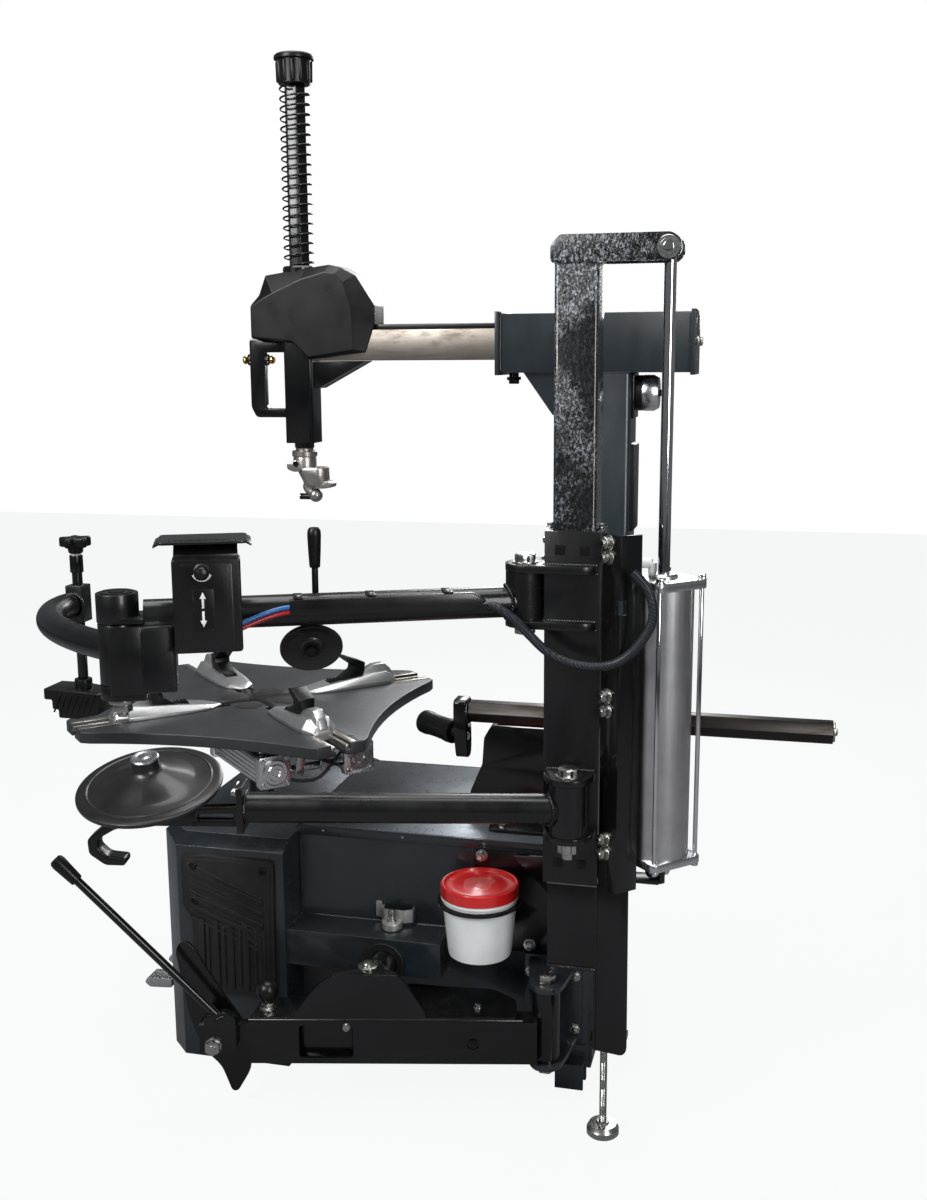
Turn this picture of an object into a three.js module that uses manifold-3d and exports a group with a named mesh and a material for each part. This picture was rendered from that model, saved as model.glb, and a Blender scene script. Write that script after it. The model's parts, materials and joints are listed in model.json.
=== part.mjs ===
// Swing-arm tire changer with a side bead breaker and a pneumatic helper tower.
// Millimetres, +Z up. The origin is on the floor under the turntable axis.
// -Y is the operator's side, where the pedals are, and +X is the side of the bead breaker and the
// helper tower.

import * as THREE from "three";
import { mergeVertices } from "three/addons/utils/BufferGeometryUtils.js";
import Module from "manifold-3d";

const wasm = await Module();
wasm.setup();

// ---------------------------------------------------------------- driving dimensions

const GAP = 0.3; // clearance between neighbouring pieces
const SEGMENTS = 24; // facets on a round piece
const FINE = 36; // facets on a large disc

// cabinet
const FRONT_HALF = 340; // half width of the front block
const FRONT_Y = -107;
const FRONT_BACK_Y = 184;
const FRONT_TOP = 507;
const FRONT_SHOULDER = 490;
const FRONT_CHAMFER = 45;
const REAR_HALF = 240; // half width of the rear body
const REAR_Y = 832;
const REAR_TOP = 520;
const REAR_BOTTOM = 28;
const SHEET = 5;
const LEDGE_OUT = 330;
const LEDGE_BOTTOM = 237;
const LEDGE_TOP = 316;
const LEDGE_END_Y = 525;
const PEDALS = [-180, -60, 60, 180]; // middle of each pedal across the front

// turntable
const TABLE_TOP = 732;
const TABLE_THICK = 26;
const TIP_REACH = 440; // centre to the blunt end of each tip
const TIP_HALF = 55;
const WAIST = 318; // centre to the middle of a hollow edge
const SLOT_HALF = 22;
const SHAFT_R = 30;

// jaws
const JAW_IN = 120;
const JAW_OUT = 385;
const JAW_HEIGHT = 24;

// tilting column and its arm
const COLUMN_HALF = 60;
const COLUMN_Y = 811;
const COLUMN_FOOT = 570;
const PIVOT_Y = COLUMN_Y - 20; // tilt axis, behind the middle of the column
const PIVOT_Z = 640;
const BOX_BOTTOM = 1490;
const BOX_TOP = 1612;
const BOX_FRONT_Y = 585;
const BOX_BACK_Y = 1001;
const BAR_HALF = 32.5;
const BAR_BOTTOM = 1517;
const BAR_TOP = 1583;
const HEAD_Y = 130; // axis of the hexagonal mounting shaft
const HEX_AF = 41;
const SPRING_SEAT = 1722;
const CAP_BOTTOM = 2101;
const CAP_TOP = 2165;
const BUTTON_Z = 1520; // height of the head's lock button

// helper tower
const TOWER_X = 420;
const TOWER_Y = 820;
const POST_HALF = 40;
const POST_TOP = 1686;
const SLEEVE_HALF = 52;
const SLEEVE_BOTTOM = 536.5;
const SLEEVE_TOP = 1212;
const SOCKET_TOP = 534;
const SOCKET_BOTTOM = 364;
const ROD_Y = 980;
const ROD_PIN_Z = 1708;
const ROD_R = 11;
const CYL_BOTTOM = 582;
const CYL_TOP = 1125;
const CYL_R = 57;
const BORE_R = 50.5;

// helper arms
const UPPER_PIVOT = [450, 728];
const UPPER_SWING = 24; // degrees outwards at rest
const UPPER_Z = 1077;
const ARM_R = 29;
const ELBOW_REACH = 735;
const LOWER_PIVOT = [510, 822];
const LOWER_SWING = 12;
const LOWER_Z = 700;
const DISC_REACH = 779;
const DISC_R = 136;
const DISC_Z = 743;
const DISC_TILT = 14;
const PUSHER = [405, -222];
const HEX_BAR = [300, 818]; // x and z of the roller bar

// bead breaker
const BREAKER_PIVOT = [355, 755];
const BREAKER_SWING = 12.8;
const BREAKER_ROD_Z = 262;
const BREAKER_PIN_REACH = 363;
const BREAKER_PIN_SIDE = 0;

// ---------------------------------------------------------------- finishes

const finish = (color, roughness, metalness) => ({ color, roughness, metalness });
const BLACK = finish(0x17181a, 0.42, 0.3);
const BLUE_GREY = finish(0x26313a, 0.45, 0.3);
const RUBBER = finish(0x141414, 0.85, 0);
const PLASTIC = finish(0x1b1c1e, 0.5, 0);
const STEEL = finish(0xb4b3ae, 0.35, 0.9);
const CHROME = finish(0xd6d6d6, 0.15, 1);
const ALUMINIUM = finish(0xc3c6ca, 0.35, 0.9);
const CAST = finish(0x8f8f8c, 0.5, 0.8);
const BRASS = finish(0xc9a548, 0.35, 0.9);
const WHITE = finish(0xeeeeec, 0.45, 0);
const RED = finish(0xc81e1e, 0.4, 0);

// ---------------------------------------------------------------- solids

// A closed three.js geometry as a solid that can be joined and cut.
function solid(geometry) {
  const bare = geometry.clone();
  bare.deleteAttribute("normal");
  bare.deleteAttribute("uv");
  const merged = mergeVertices(bare, 1e-4);
  const index = merged.index.array;
  const kept = [];
  for (let i = 0; i < index.length; i += 3) {
    const [a, b, c] = [index[i], index[i + 1], index[i + 2]];
    if (a !== b && b !== c && c !== a) kept.push(a, b, c);
  }
  return new wasm.Manifold(
    new wasm.Mesh({
      numProp: 3,
      vertProperties: merged.attributes.position.array,
      triVerts: new Uint32Array(kept),
    }),
  );
}

function join(...pieces) {
  return pieces.reduce((all, piece) => all.add(piece));
}

function cut(body, ...tools) {
  return tools.reduce((left, tool) => left.subtract(tool), body);
}

function block(x0, x1, y0, y1, z0, z1) {
  const geometry = new THREE.BoxGeometry(x1 - x0, y1 - y0, z1 - z0);
  geometry.translate((x0 + x1) / 2, (y0 + y1) / 2, (z0 + z1) / 2);
  return solid(geometry);
}

// A round bar from one point to another.
function bar(from, to, radius, segments = SEGMENTS, endRadius = radius) {
  const start = new THREE.Vector3(...from);
  const end = new THREE.Vector3(...to);
  const way = end.clone().sub(start);
  const geometry = new THREE.CylinderGeometry(endRadius, radius, way.length(), segments);
  const turn = new THREE.Quaternion().setFromUnitVectors(new THREE.Vector3(0, 1, 0),
    way.clone().normalize());
  geometry.applyQuaternion(turn);
  geometry.translate(...start.add(end).multiplyScalar(0.5).toArray());
  return solid(geometry);
}

// An outline through the given corners, each one rounded.
function outline(corners, radius = 0) {
  const shape = new THREE.Shape();
  const count = corners.length;
  corners.forEach((corner, i) => {
    const here = new THREE.Vector2(...corner);
    const before = new THREE.Vector2(...corners[(i + count - 1) % count]).sub(here);
    const after = new THREE.Vector2(...corners[(i + 1) % count]).sub(here);
    const reach = Math.min(radius, before.length() / 2, after.length() / 2);
    const enter = here.clone().add(before.setLength(reach));
    const leave = here.clone().add(after.setLength(reach));
    if (i === 0) shape.moveTo(enter.x, enter.y);
    else shape.lineTo(enter.x, enter.y);
    if (radius > 0) shape.quadraticCurveTo(here.x, here.y, leave.x, leave.y);
  });
  shape.closePath();
  return shape;
}

// The frame that carries an outline's (u, v, depth) to world axes.
const FRAMES = {
  x: [[0, 1, 0], [0, 0, 1], [1, 0, 0]],
  y: [[1, 0, 0], [0, 0, 1], [0, -1, 0]],
  z: [[1, 0, 0], [0, 1, 0], [0, 0, 1]],
};

// An outline pushed along an axis from lo to hi. Along x it holds (y, z), along y (x, z), along z (x,
// y).
function prism(axis, shape, lo, hi, curveSegments = 2) {
  const options = { depth: hi - lo, bevelEnabled: false, curveSegments };
  const geometry = new THREE.ExtrudeGeometry(shape, options);
  const [u, v, w] = FRAMES[axis].map((column) => new THREE.Vector3(...column));
  geometry.applyMatrix4(new THREE.Matrix4().makeBasis(u, v, w));
  const shift = axis === "y" ? w.clone().multiplyScalar(-hi) : w.clone().multiplyScalar(lo);
  geometry.translate(shift.x, shift.y, shift.z);
  return solid(geometry);
}

// A profile of (radius, height) points turned about a vertical axis.
function turned(profile, x, y, segments = SEGMENTS) {
  const points = profile.map(([r, z]) => new THREE.Vector2(r, z));
  const geometry = new THREE.LatheGeometry(points, segments);
  geometry.rotateX(Math.PI / 2);
  geometry.translate(x, y, 0);
  return solid(geometry);
}

// A round rod that follows a curve.
function rodAlong(curve, radius, steps, sides = 9) {
  const circle = new THREE.Shape();
  circle.absarc(0, 0, radius, 0, Math.PI * 2);
  const options = { steps, extrudePath: curve, bevelEnabled: false, curveSegments: sides };
  return solid(new THREE.ExtrudeGeometry(circle, options));
}

// An upright hexagonal prism with flats facing plus and minus Y.
function hexagon(x, y, z0, z1, acrossFlats) {
  return bar([x, y, z0], [x, y, z1], acrossFlats / Math.sqrt(3), 6);
}

function boltHead(at, direction, acrossFlats, height) {
  const end = at.map((value, i) => value + direction[i] * height);
  return bar(at, end, acrossFlats / Math.sqrt(3), 6);
}

function turnAbout(piece, degrees, x, y) {
  return piece.translate([-x, -y, 0]).rotate([0, 0, degrees]).translate([x, y, 0]);
}

// ---------------------------------------------------------------- scene graph

function body(name, parent) {
  const group = new THREE.Group();
  group.name = name + "_group";
  parent.add(group);
  return group;
}

function part(group, name, piece, look) {
  const mesh = piece.getMesh();
  const positions = new Float32Array((mesh.vertProperties.length / mesh.numProp) * 3);
  for (let i = 0; i < positions.length / 3; i++) {
    for (let k = 0; k < 3; k++) positions[3 * i + k] = mesh.vertProperties[mesh.numProp * i + k];
  }
  const geometry = new THREE.BufferGeometry();
  geometry.setAttribute("position", new THREE.BufferAttribute(positions, 3));
  geometry.setIndex(new THREE.BufferAttribute(new Uint32Array(mesh.triVerts), 1));
  geometry.computeVertexNormals();
  const made = new THREE.Mesh(geometry, new THREE.MeshStandardMaterial(look));
  made.name = name;
  group.add(made);
}

const machine = new THREE.Group();
const base = body("base", machine);

// ---------------------------------------------------------------- cabinet

function frontPlan(inset) {
  const half = FRONT_HALF - inset;
  const front = FRONT_Y + inset;
  const chamfer = FRONT_CHAMFER - inset * 0.4;
  return outline([
    [-half, front + chamfer],
    [-half + chamfer, front],
    [half - chamfer, front],
    [half, front + chamfer],
    [half, FRONT_BACK_Y - inset],
    [-half, FRONT_BACK_Y - inset],
  ]);
}

function cabinet() {
  const bevel = 40;
  const section = outline([
    [-FRONT_HALF, 0],
    [FRONT_HALF, 0],
    [FRONT_HALF, FRONT_SHOULDER],
    [FRONT_HALF - bevel, FRONT_TOP],
    [bevel - FRONT_HALF, FRONT_TOP],
    [-FRONT_HALF, FRONT_SHOULDER],
  ]);
  const front = prism("z", frontPlan(0), 0, FRONT_TOP).intersect(
    prism("y", section, FRONT_Y - 1, FRONT_BACK_Y + 1),
  );
  const rear = block(-REAR_HALF, REAR_HALF, FRONT_BACK_Y - SHEET, REAR_Y, REAR_BOTTOM, REAR_TOP);
  const inside = REAR_HALF - SHEET;
  const flange = 45;
  let shell = join(front, rear);
  shell = cut(
    shell,
    prism("z", frontPlan(SHEET), SHEET, FRONT_SHOULDER - SHEET),
    prism("z", frontPlan(flange), -1, SHEET + 1),
    block(-inside, inside, 100, REAR_Y - SHEET, REAR_BOTTOM - 1, REAR_TOP - SHEET),
  );
  const crossMember = block(-FRONT_HALF + 30, FRONT_HALF - 30, -40, 40, 0, SHEET);
  for (const side of [-1, 1]) {
    shell = shell.add(ledge(side)).add(foot(side));
  }
  shell = shell.add(crossMember);
  const rodY = breakerPin()[1];
  const shaftHole = bar([0, 0, FRONT_SHOULDER - 20], [0, 0, FRONT_TOP + 5], 50);
  const rodHole = bar([REAR_HALF - 40, rodY, BREAKER_ROD_Z], [LEDGE_OUT + 5, rodY, BREAKER_ROD_Z], 34);
  const pedalSlots = PEDALS.map((x) => block(x - 34, x + 34, FRONT_Y - 1, FRONT_Y + 12, 30, 130));
  return cut(shell, shaftHole, rodHole, ...pedalSlots);
}

// The box beam along the foot of each side wall, open underneath.
function ledge(side) {
  const inner = side * (REAR_HALF - 2);
  const outer = side * LEDGE_OUT;
  const [x0, x1] = [Math.min(inner, outer), Math.max(inner, outer)];
  const beam = block(x0, x1, FRONT_BACK_Y - 3, LEDGE_END_Y, LEDGE_BOTTOM, LEDGE_TOP);
  const hollow = block(x0 + SHEET, x1 - SHEET, FRONT_BACK_Y + SHEET, LEDGE_END_Y - SHEET, 200,
    LEDGE_TOP - SHEET);
  return cut(beam, hollow);
}

// A channel foot that stands out from the rear corner.
function foot(side) {
  const [inner, outer] = [REAR_HALF - 6, 288];
  const [y0, y1] = [762, 822];
  const across = (a, b) => [Math.min(side * a, side * b), Math.max(side * a, side * b)];
  const plate = (a, b, z0, z1) => block(...across(a, b), y0, y1, z0, z1);
  return join(plate(inner, outer, 50, 56), plate(outer - 6, outer, 0, 56),
    plate(inner, inner + 12, 0, 80));
}


function bumperPad() {
  const face = FRONT_HALF + GAP;
  const edge = outline([[-48, 474], [-48, 354], [-27, 333], [-27, 160], [160, 160], [166, 474]], 12);
  let pad = prism("x", edge, face, face + 10);
  for (let i = 0; i < 5; i++) {
    const y = -10 + i * 34;
    pad = pad.add(block(face + 9, face + 15, y, y + 12, 175, 330));
  }
  for (let i = 0; i < 4; i++) {
    const z = 430 - i * 26;
    const rib = outline([[-25, z], [-25, z + 10], [140, z - 45], [140, z - 55]]);
    pad = pad.add(prism("x", rib, face + 9, face + 15));
  }
  return pad;
}

function gearbox() {
  const housing = block(-90, 90, -85, 85, 300, 460);
  const neck = bar([0, 0, 455], [0, 0, FRONT_SHOULDER - SHEET - GAP], 75);
  const wormEnd = bar([90, 30, 350], [130, 30, 350], 32);
  const bore = bar([0, 0, 318], [0, 0, 500], SHAFT_R + 1.5);
  return cut(join(housing, neck, wormEnd), bore);
}

function driveMotor() {
  const [x, y] = [215, 20];
  const can = bar([x, y, 285], [x, y, 440], 68);
  const fanCowl = bar([x, y, 440], [x, y, 470], 62);
  const guardEdge = outline([[-70, -50], [x + 40, y - 60], [x + 40, y + 50], [-70, 50]], 40);
  const guard = prism("z", guardEdge, 240, 290);
  const terminalBox = block(x - 30, x + 30, y - 90, y - 55, 330, 400);
  return join(can, fanCowl, guard, terminalBox);
}

function breakerCylinder() {
  const y = breakerPin()[1];
  const z = BREAKER_ROD_Z;
  const tube = bar([-200, y, z], [140, y, z], 95);
  const caps = [-212, 128].map((x) => bar([x, y, z], [x + 24, y, z], 104));
  const bore = bar([-190, y, z], [160, y, z], 30);
  return cut(join(tube, ...caps), bore);
}

part(base, "cabinet", cabinet(), BLUE_GREY);
part(base, "bumper_pad", bumperPad(), RUBBER);
part(base, "turntable_gearbox", gearbox(), CAST);
part(base, "drive_motor", driveMotor(), CAST);
part(base, "breaker_cylinder", breakerCylinder(), ALUMINIUM);

// ---------------------------------------------------------------- bead breaker

// Where the breaker arm's rod pin stands at rest.
function breakerPin() {
  const angle = THREE.MathUtils.degToRad(BREAKER_SWING);
  const [x, y] = BREAKER_PIVOT;
  return [
    x + BREAKER_PIN_SIDE * Math.cos(angle) + BREAKER_PIN_REACH * Math.sin(angle),
    y + BREAKER_PIN_SIDE * Math.sin(angle) - BREAKER_PIN_REACH * Math.cos(angle),
  ];
}

function breakerBracket() {
  const back = block(REAR_HALF + GAP, REAR_HALF + 12, 690, 812, 88, 280);
  const ear = outline([[REAR_HALF + 8, 700], [370, 722], [392, 740], [392, 772], [370, 790],
    [REAR_HALF + 8, 808]], 10);
  const ears = [93, 262].map((z) => prism("z", ear, z, z + 12));
  const hole = bar([...BREAKER_PIVOT, 80], [...BREAKER_PIVOT, 290], 13);
  return cut(join(back, ...ears), hole);
}

function breakerBolt() {
  const shaft = bar([...BREAKER_PIVOT, 84], [...BREAKER_PIVOT, 276], 11.5);
  const head = hexagon(...BREAKER_PIVOT, 274 + GAP, 290, 34);
  const nut = hexagon(...BREAKER_PIVOT, 78, 93 - GAP, 34);
  return join(shaft, head, nut);
}

// The arm is drawn about its pivot, pointing along -Y.
function breakerArm() {
  const knuckle = bar([0, 0, 105 + GAP], [0, 0, 262 - GAP], 29);
  const beamEdge = outline([[-8, -20], [40, -20], [40, -603], [11, -603], [11, -500], [-8, -440]]);
  const beam = prism("z", beamEdge, 112, 203);
  const beamHollow = block(6, 34, -590, -60, 106, 197);
  const faceWindow = prism("x", outline([[-502, 124], [-392, 124], [-392, 196], [-502, 196]], 8), 30, 45);
  const faceHole = bar([30, -149, 156], [45, -149, 156], 13, 20);
  const nose = block(12, 40, -705, -590, 132, 195);
  const wingEdge = outline([
    [40, -60],
    [-40, -60],
    [-86, -110],
    [-94, -200],
    [-110, -285],
    [-62, -345],
    [-62, -500],
    [-46, -540],
    [-50, -585],
    [40, -600],
  ], 14);
  const wing = prism("z", wingEdge, 203 - GAP, 213);
  const pin = [BREAKER_PIN_SIDE, -BREAKER_PIN_REACH];
  const earEdge = outline([
    [-14, pin[1] - 44],
    [40, -440],
    [40, -292],
    [0, pin[1] + 34],
    [-34, pin[1] + 22],
    [-34, pin[1] - 20],
  ], 18);
  const ear = prism("z", earEdge, 294, 304);
  const webEdge = outline([[-520, 208], [-235, 208], [-288, 292], [-302, 304], [-432, 304], [-462, 284]], 22);
  const web = prism("x", webEdge, 30, 40);
  const pinBody = bar([...pin, 206], [...pin, 310], 9);
  const pivotHole = bar([0, 0, 80], [0, 0, 290], 13);
  const shell = cut(join(beam, nose), beamHollow, faceWindow, faceHole);
  return cut(join(shell, knuckle, wing, ear, web, pinBody), pivotHole, bladeBoltHole());
}

const BLADE_REACH = 672;
const BLADE_BOLT_Z = 162;

function bladeBoltHole() {
  return bar([-60, -BLADE_REACH, BLADE_BOLT_Z], [60, -BLADE_REACH, BLADE_BOLT_Z], 9);
}

function breakerHandle() {
  const start = new THREE.Vector3(52, -655, 215);
  const end = new THREE.Vector3(52, -930, 510);
  const lever = bar(start.toArray(), end.toArray(), 11, 16);
  const tip = end.clone().add(end.clone().sub(start).setLength(62));
  const grip = bar(end.toArray(), tip.toArray(), 18, 16);
  const lug = block(40 + GAP, 60, -690, -625, 150, 222);
  return join(lever, grip, cut(lug, bladeBoltHole()));
}

function breakerBlade() {
  const edge = outline([
    [-636, 32], [-648, 32], [-668, 88], [-706, 128], [-730, 195], [-742, 270], [-754, 345],
    [-738, 366], [-716, 350], [-690, 298], [-652, 235], [-622, 190], [-606, 130], [-608, 80],
  ], 12);
  const plate = prism("x", edge, 0, 9);
  const hub = bar([0, -BLADE_REACH, BLADE_BOLT_Z], [12 - GAP, -BLADE_REACH, BLADE_BOLT_Z], 24);
  const bolt = bar([4, -BLADE_REACH, BLADE_BOLT_Z], [64, -BLADE_REACH, BLADE_BOLT_Z], 8);
  const nut = boltHead([60 + GAP, -BLADE_REACH, BLADE_BOLT_Z], [1, 0, 0], 28, 14);
  return join(plate, hub, bolt, nut);
}

function breakerRod() {
  const [pinX, pinY] = breakerPin();
  const z = BREAKER_ROD_Z;
  const rod = bar([pinX - 470, pinY, z], [pinX + 18, pinY, z], 30);
  const slot = block(pinX - 12, pinX + 12, pinY - 18.5, pinY + 29.5, z - 40, z + 40);
  return cut(rod, slot);
}

function swingGroup(name, parent, [x, y], degrees) {
  const group = body(name, parent);
  group.position.set(x, y, 0);
  group.rotation.z = THREE.MathUtils.degToRad(degrees);
  return group;
}

part(base, "breaker_bracket", breakerBracket(), BLUE_GREY);
part(base, "breaker_pivot_bolt", breakerBolt(), STEEL);
part(body("breaker_rod", base), "breaker_rod", breakerRod(), BLACK);
const breaker = swingGroup("breaker", base, BREAKER_PIVOT, BREAKER_SWING);
part(breaker, "breaker_arm", breakerArm(), BLACK);
part(breaker, "breaker_handle", breakerHandle(), BLACK);
part(body("blade", breaker), "breaker_blade", breakerBlade(), BLACK);

// ---------------------------------------------------------------- turntable

// The star plate's outline: four blunt tips on the diagonals and four hollow edges.
function starOutline() {
  const shape = new THREE.Shape();
  const corner = 16;
  for (let i = 0; i < 4; i++) {
    const angle = Math.PI / 4 + (i * Math.PI) / 2;
    const along = new THREE.Vector2(Math.cos(angle), Math.sin(angle));
    const across = new THREE.Vector2(-Math.sin(angle), Math.cos(angle));
    const at = (reach, side) => along.clone().multiplyScalar(reach).addScaledVector(across, side);
    const first = at(TIP_REACH - corner, -TIP_HALF - corner);
    if (i === 0) shape.moveTo(first.x, first.y);
    for (const [reach, side] of [[TIP_REACH, -TIP_HALF], [TIP_REACH, TIP_HALF],
      [TIP_REACH - corner, TIP_HALF + corner]]) {
      const point = at(reach, side);
      shape.lineTo(point.x, point.y);
    }
    const middle = new THREE.Vector2(Math.cos(angle + Math.PI / 4), Math.sin(angle + Math.PI / 4));
    const pull = middle.multiplyScalar(2 * WAIST - (TIP_REACH + TIP_HALF) / Math.SQRT2 + 4);
    const next = first.clone().rotateAround(new THREE.Vector2(), Math.PI / 2);
    shape.quadraticCurveTo(pull.x, pull.y, next.x, next.y);
  }
  return shape;
}

function turntable() {
  const bottom = TABLE_TOP - TABLE_THICK;
  let plate = prism("z", starOutline(), bottom, TABLE_TOP, 10);
  const tools = [];
  for (let i = 0; i < 4; i++) {
    const degrees = 45 + 90 * i;
    tools.push(block(80, 500, -SLOT_HALF, SLOT_HALF, TABLE_TOP - 14,
      TABLE_TOP + 1).rotate([0, 0, degrees]));
    tools.push(block(96, 500, -11, 11, bottom - 1, TABLE_TOP).rotate([0, 0, degrees]));
  }
  plate = cut(plate, ...tools);
  const hub = bar([0, 0, 660], [0, 0, bottom + 2], 60);
  const shaft = bar([0, 0, 325], [0, 0, 665], SHAFT_R);
  return join(plate, hub, shaft);
}

// A square air cylinder slung under the table, drawn along +X and turned onto the diagonal.
function clampCylinder(side, withLink) {
  const y = side * 100;
  const centre = 655;
  const half = 36;
  const barrel = block(20, 318, y - half + 3, y + half - 3, centre - half + 3, centre + half - 3);
  const caps = [20, 300].map((x) => block(x, x + 20, y - half, y + half, centre - half, centre + half));
  const boss = bar([318, y, centre], [330, y, centre], 24);
  const rod = bar([-150, y, centre], [25, y, centre], 10);
  const hangers = [60, 250].map((x) => block(x, x + 20, y - 15, y + 15, centre + half - 6,
    TABLE_TOP - TABLE_THICK - GAP));
  let made = join(barrel, ...caps, boss, rod, ...hangers);
  if (withLink) made = made.add(bar([270, y + half - 5, centre - 20],
    [270, -y - half - GAP, centre - 20], 9, 16));
  return made.rotate([0, 0, 45]);
}

// One clamping jaw along +X: the slider in its slot, the cast cover on it and the serrated claw.
function jaw() {
  const slider = block(JAW_IN + 10, JAW_OUT - 30, GAP - SLOT_HALF, SLOT_HALF - GAP,
    TABLE_TOP - 14 + GAP, TABLE_TOP + 1);
  const key = block(JAW_IN + 10, JAW_OUT - 60, GAP - 11, 11 - GAP, TABLE_TOP - TABLE_THICK,
    TABLE_TOP - 10);
  const plan = outline([[JAW_IN, 0], [JAW_IN + 25, 22], [250, 40], [JAW_OUT, 22], [JAW_OUT, -22],
    [250, -40], [JAW_IN + 25, -22]], 14);
  const top = TABLE_TOP + JAW_HEIGHT;
  const lowPlate = prism("z", plan, TABLE_TOP + GAP, TABLE_TOP + 9, 3);
  const ridge = prism("y", outline([
    [JAW_IN + 18, TABLE_TOP + 6], [JAW_OUT - 6, TABLE_TOP + 6], [JAW_OUT - 26, top - 6],
      [JAW_OUT - 60, top + 6], [JAW_IN + 90, top - 6],
  ], 8), -13, 13);
  const claw = prism("y", outline([
    [165, TABLE_TOP + 10], [255, TABLE_TOP + 10], [262, TABLE_TOP + 50], [240, TABLE_TOP + 47],
      [236, TABLE_TOP + 32], [165, TABLE_TOP + 24],
  ]), -17, 17);
  return join(slider, key, lowPlate, ridge, claw);
}

const table = body("turntable", base);
part(table, "turntable", turntable(), finish(0x3a3d40, 0.5, 0.5));
part(table, "clamp_cylinder_right", clampCylinder(-1, true), ALUMINIUM);
part(table, "clamp_cylinder_left", clampCylinder(1, false), ALUMINIUM);
for (let i = 0; i < 4; i++) {
  part(body("jaw_" + (i + 1), table), "jaw_" + (i + 1), jaw().rotate([0, 0, 45 + 90 * i]), CAST);
}

// ---------------------------------------------------------------- tilting column

function columnSupport() {
  const [inner, outer] = [84, 95];
  const floor = REAR_TOP + GAP;
  const cheekEdge = outline([[528, floor], [535, 576], [562, 640], [566, 700], [582, 728], [815, 728],
    [824, 700], [824, floor]], 5);
  const cheeks = [prism("x", cheekEdge, inner, outer), prism("x", cheekEdge, -outer, -inner)];
  const frontEdge = outline([[528, floor], [535, 576], [562, 640], [566, 700], [582, 728], [592, 728],
    [576, 700], [572, 640], [546, 576], [539, floor]]);
  const front = prism("x", frontEdge, -inner - 1, inner + 1);
  const floorPlate = block(-inner - 1, inner + 1, 530, 824, floor, floor + 8);
  const shaftHole = bar([-120, COLUMN_Y - 20, PIVOT_Z], [120, COLUMN_Y - 20, PIVOT_Z], 15.5);
  return cut(join(...cheeks, front, floorPlate), shaftHole);
}


function pivotShaft() {
  const shaft = bar([-102, PIVOT_Y, PIVOT_Z], [102, PIVOT_Y, PIVOT_Z], 14.5);
  const collars = [[-108, -95 - GAP], [95 + GAP, 108]].map(([a, b]) => bar([a, PIVOT_Y, PIVOT_Z],
    [b, PIVOT_Y, PIVOT_Z], 22));
  return join(shaft, ...collars);
}

function tiltCylinder() {
  const y = 690;
  const tube = bar([0, y, 60], [0, y, 330], 48);
  const caps = [50, 320].map((z) => block(-54, 54, y - 54, y + 54, z, z + 20));
  const rod = bar([0, y, 335], [0, y, 500], 12);
  return join(tube, ...caps, rod);
}

function column() {
  const y0 = COLUMN_Y - COLUMN_HALF;
  const y1 = COLUMN_Y + COLUMN_HALF;
  const wall = 6;
  const top = BOX_BOTTOM - GAP;
  const tube = cut(
    block(-COLUMN_HALF, COLUMN_HALF, y0, y1, COLUMN_FOOT, top),
    block(wall - COLUMN_HALF, COLUMN_HALF - wall, y0 + wall, y1 - wall, COLUMN_FOOT - 1, top + 1),
  );
  const bush = bar([-80, PIVOT_Y, PIVOT_Z], [80, PIVOT_Y, PIVOT_Z], 24);
  const shaftHole = bar([-120, PIVOT_Y, PIVOT_Z], [120, PIVOT_Y, PIVOT_Z], 15.5);
  const backPlate = block(-36, 36, y1 - 2, y1 + 9, 1155, 1344);
  return cut(join(tube, bush, backPlate), shaftHole);
}

function armBox() {
  const box = block(-COLUMN_HALF, COLUMN_HALF, BOX_FRONT_Y + 4, BOX_BACK_Y - 4, BOX_BOTTOM, BOX_TOP);
  const flanges = [BOX_FRONT_Y, BOX_BACK_Y - 9].map((y) => block(-68, 68, y, y + 9, BOX_BOTTOM - 5,
    BOX_TOP + 5));
  const face = COLUMN_Y - COLUMN_HALF - GAP;
  const gusset = prism("x", outline([[641, BOX_BOTTOM + 2], [face, BOX_BOTTOM + 2], [face, 1395],
    [705, 1402]]), -45, 45);
  const passage = block(-BAR_HALF - 1, BAR_HALF + 1, BOX_FRONT_Y - 5, BOX_BACK_Y + 5, BAR_BOTTOM - 1,
    BAR_TOP + 14);
  const lockScrew = join(
    bar([0, 613, BOX_BOTTOM - 24], [0, 613, BOX_BOTTOM + 4], 7, 12),
    hexagon(0, 613, BOX_BOTTOM - 24, BOX_BOTTOM - 12, 20),
  );
  return cut(join(box, ...flanges, gusset, lockScrew), passage);
}

function lockCylinder() {
  const y = COLUMN_Y + COLUMN_HALF + GAP;
  const z = 1447;
  const can = bar([0, y, z], [0, y + 44, z], 37);
  const cover = bar([0, y + 44, z], [0, y + 54, z], 37, SEGMENTS, 29);
  return join(can, cover);
}

part(base, "column_support", columnSupport(), BLACK);
part(base, "column_pivot_shaft", pivotShaft(), STEEL);
part(base, "tilt_cylinder", tiltCylinder(), ALUMINIUM);
const columnGroup = body("column", base);
part(columnGroup, "column", column(), BLUE_GREY);
part(columnGroup, "arm_box", armBox(), BLUE_GREY);
part(columnGroup, "slide_lock_cylinder", lockCylinder(), PLASTIC);

// ---------------------------------------------------------------- sliding arm and mounting head

const TUBE_HALF = 32.5;
const TUBE_BOTTOM = 1336;

function slideArm() {
  const front = HEAD_Y + TUBE_HALF + GAP;
  const steel = block(-BAR_HALF, BAR_HALF, front, 985, BAR_BOTTOM, BAR_TOP);
  const guide = block(-20, 20, front, 985, BAR_TOP - 1, BAR_TOP + 12);
  return join(steel, guide);
}

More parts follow.
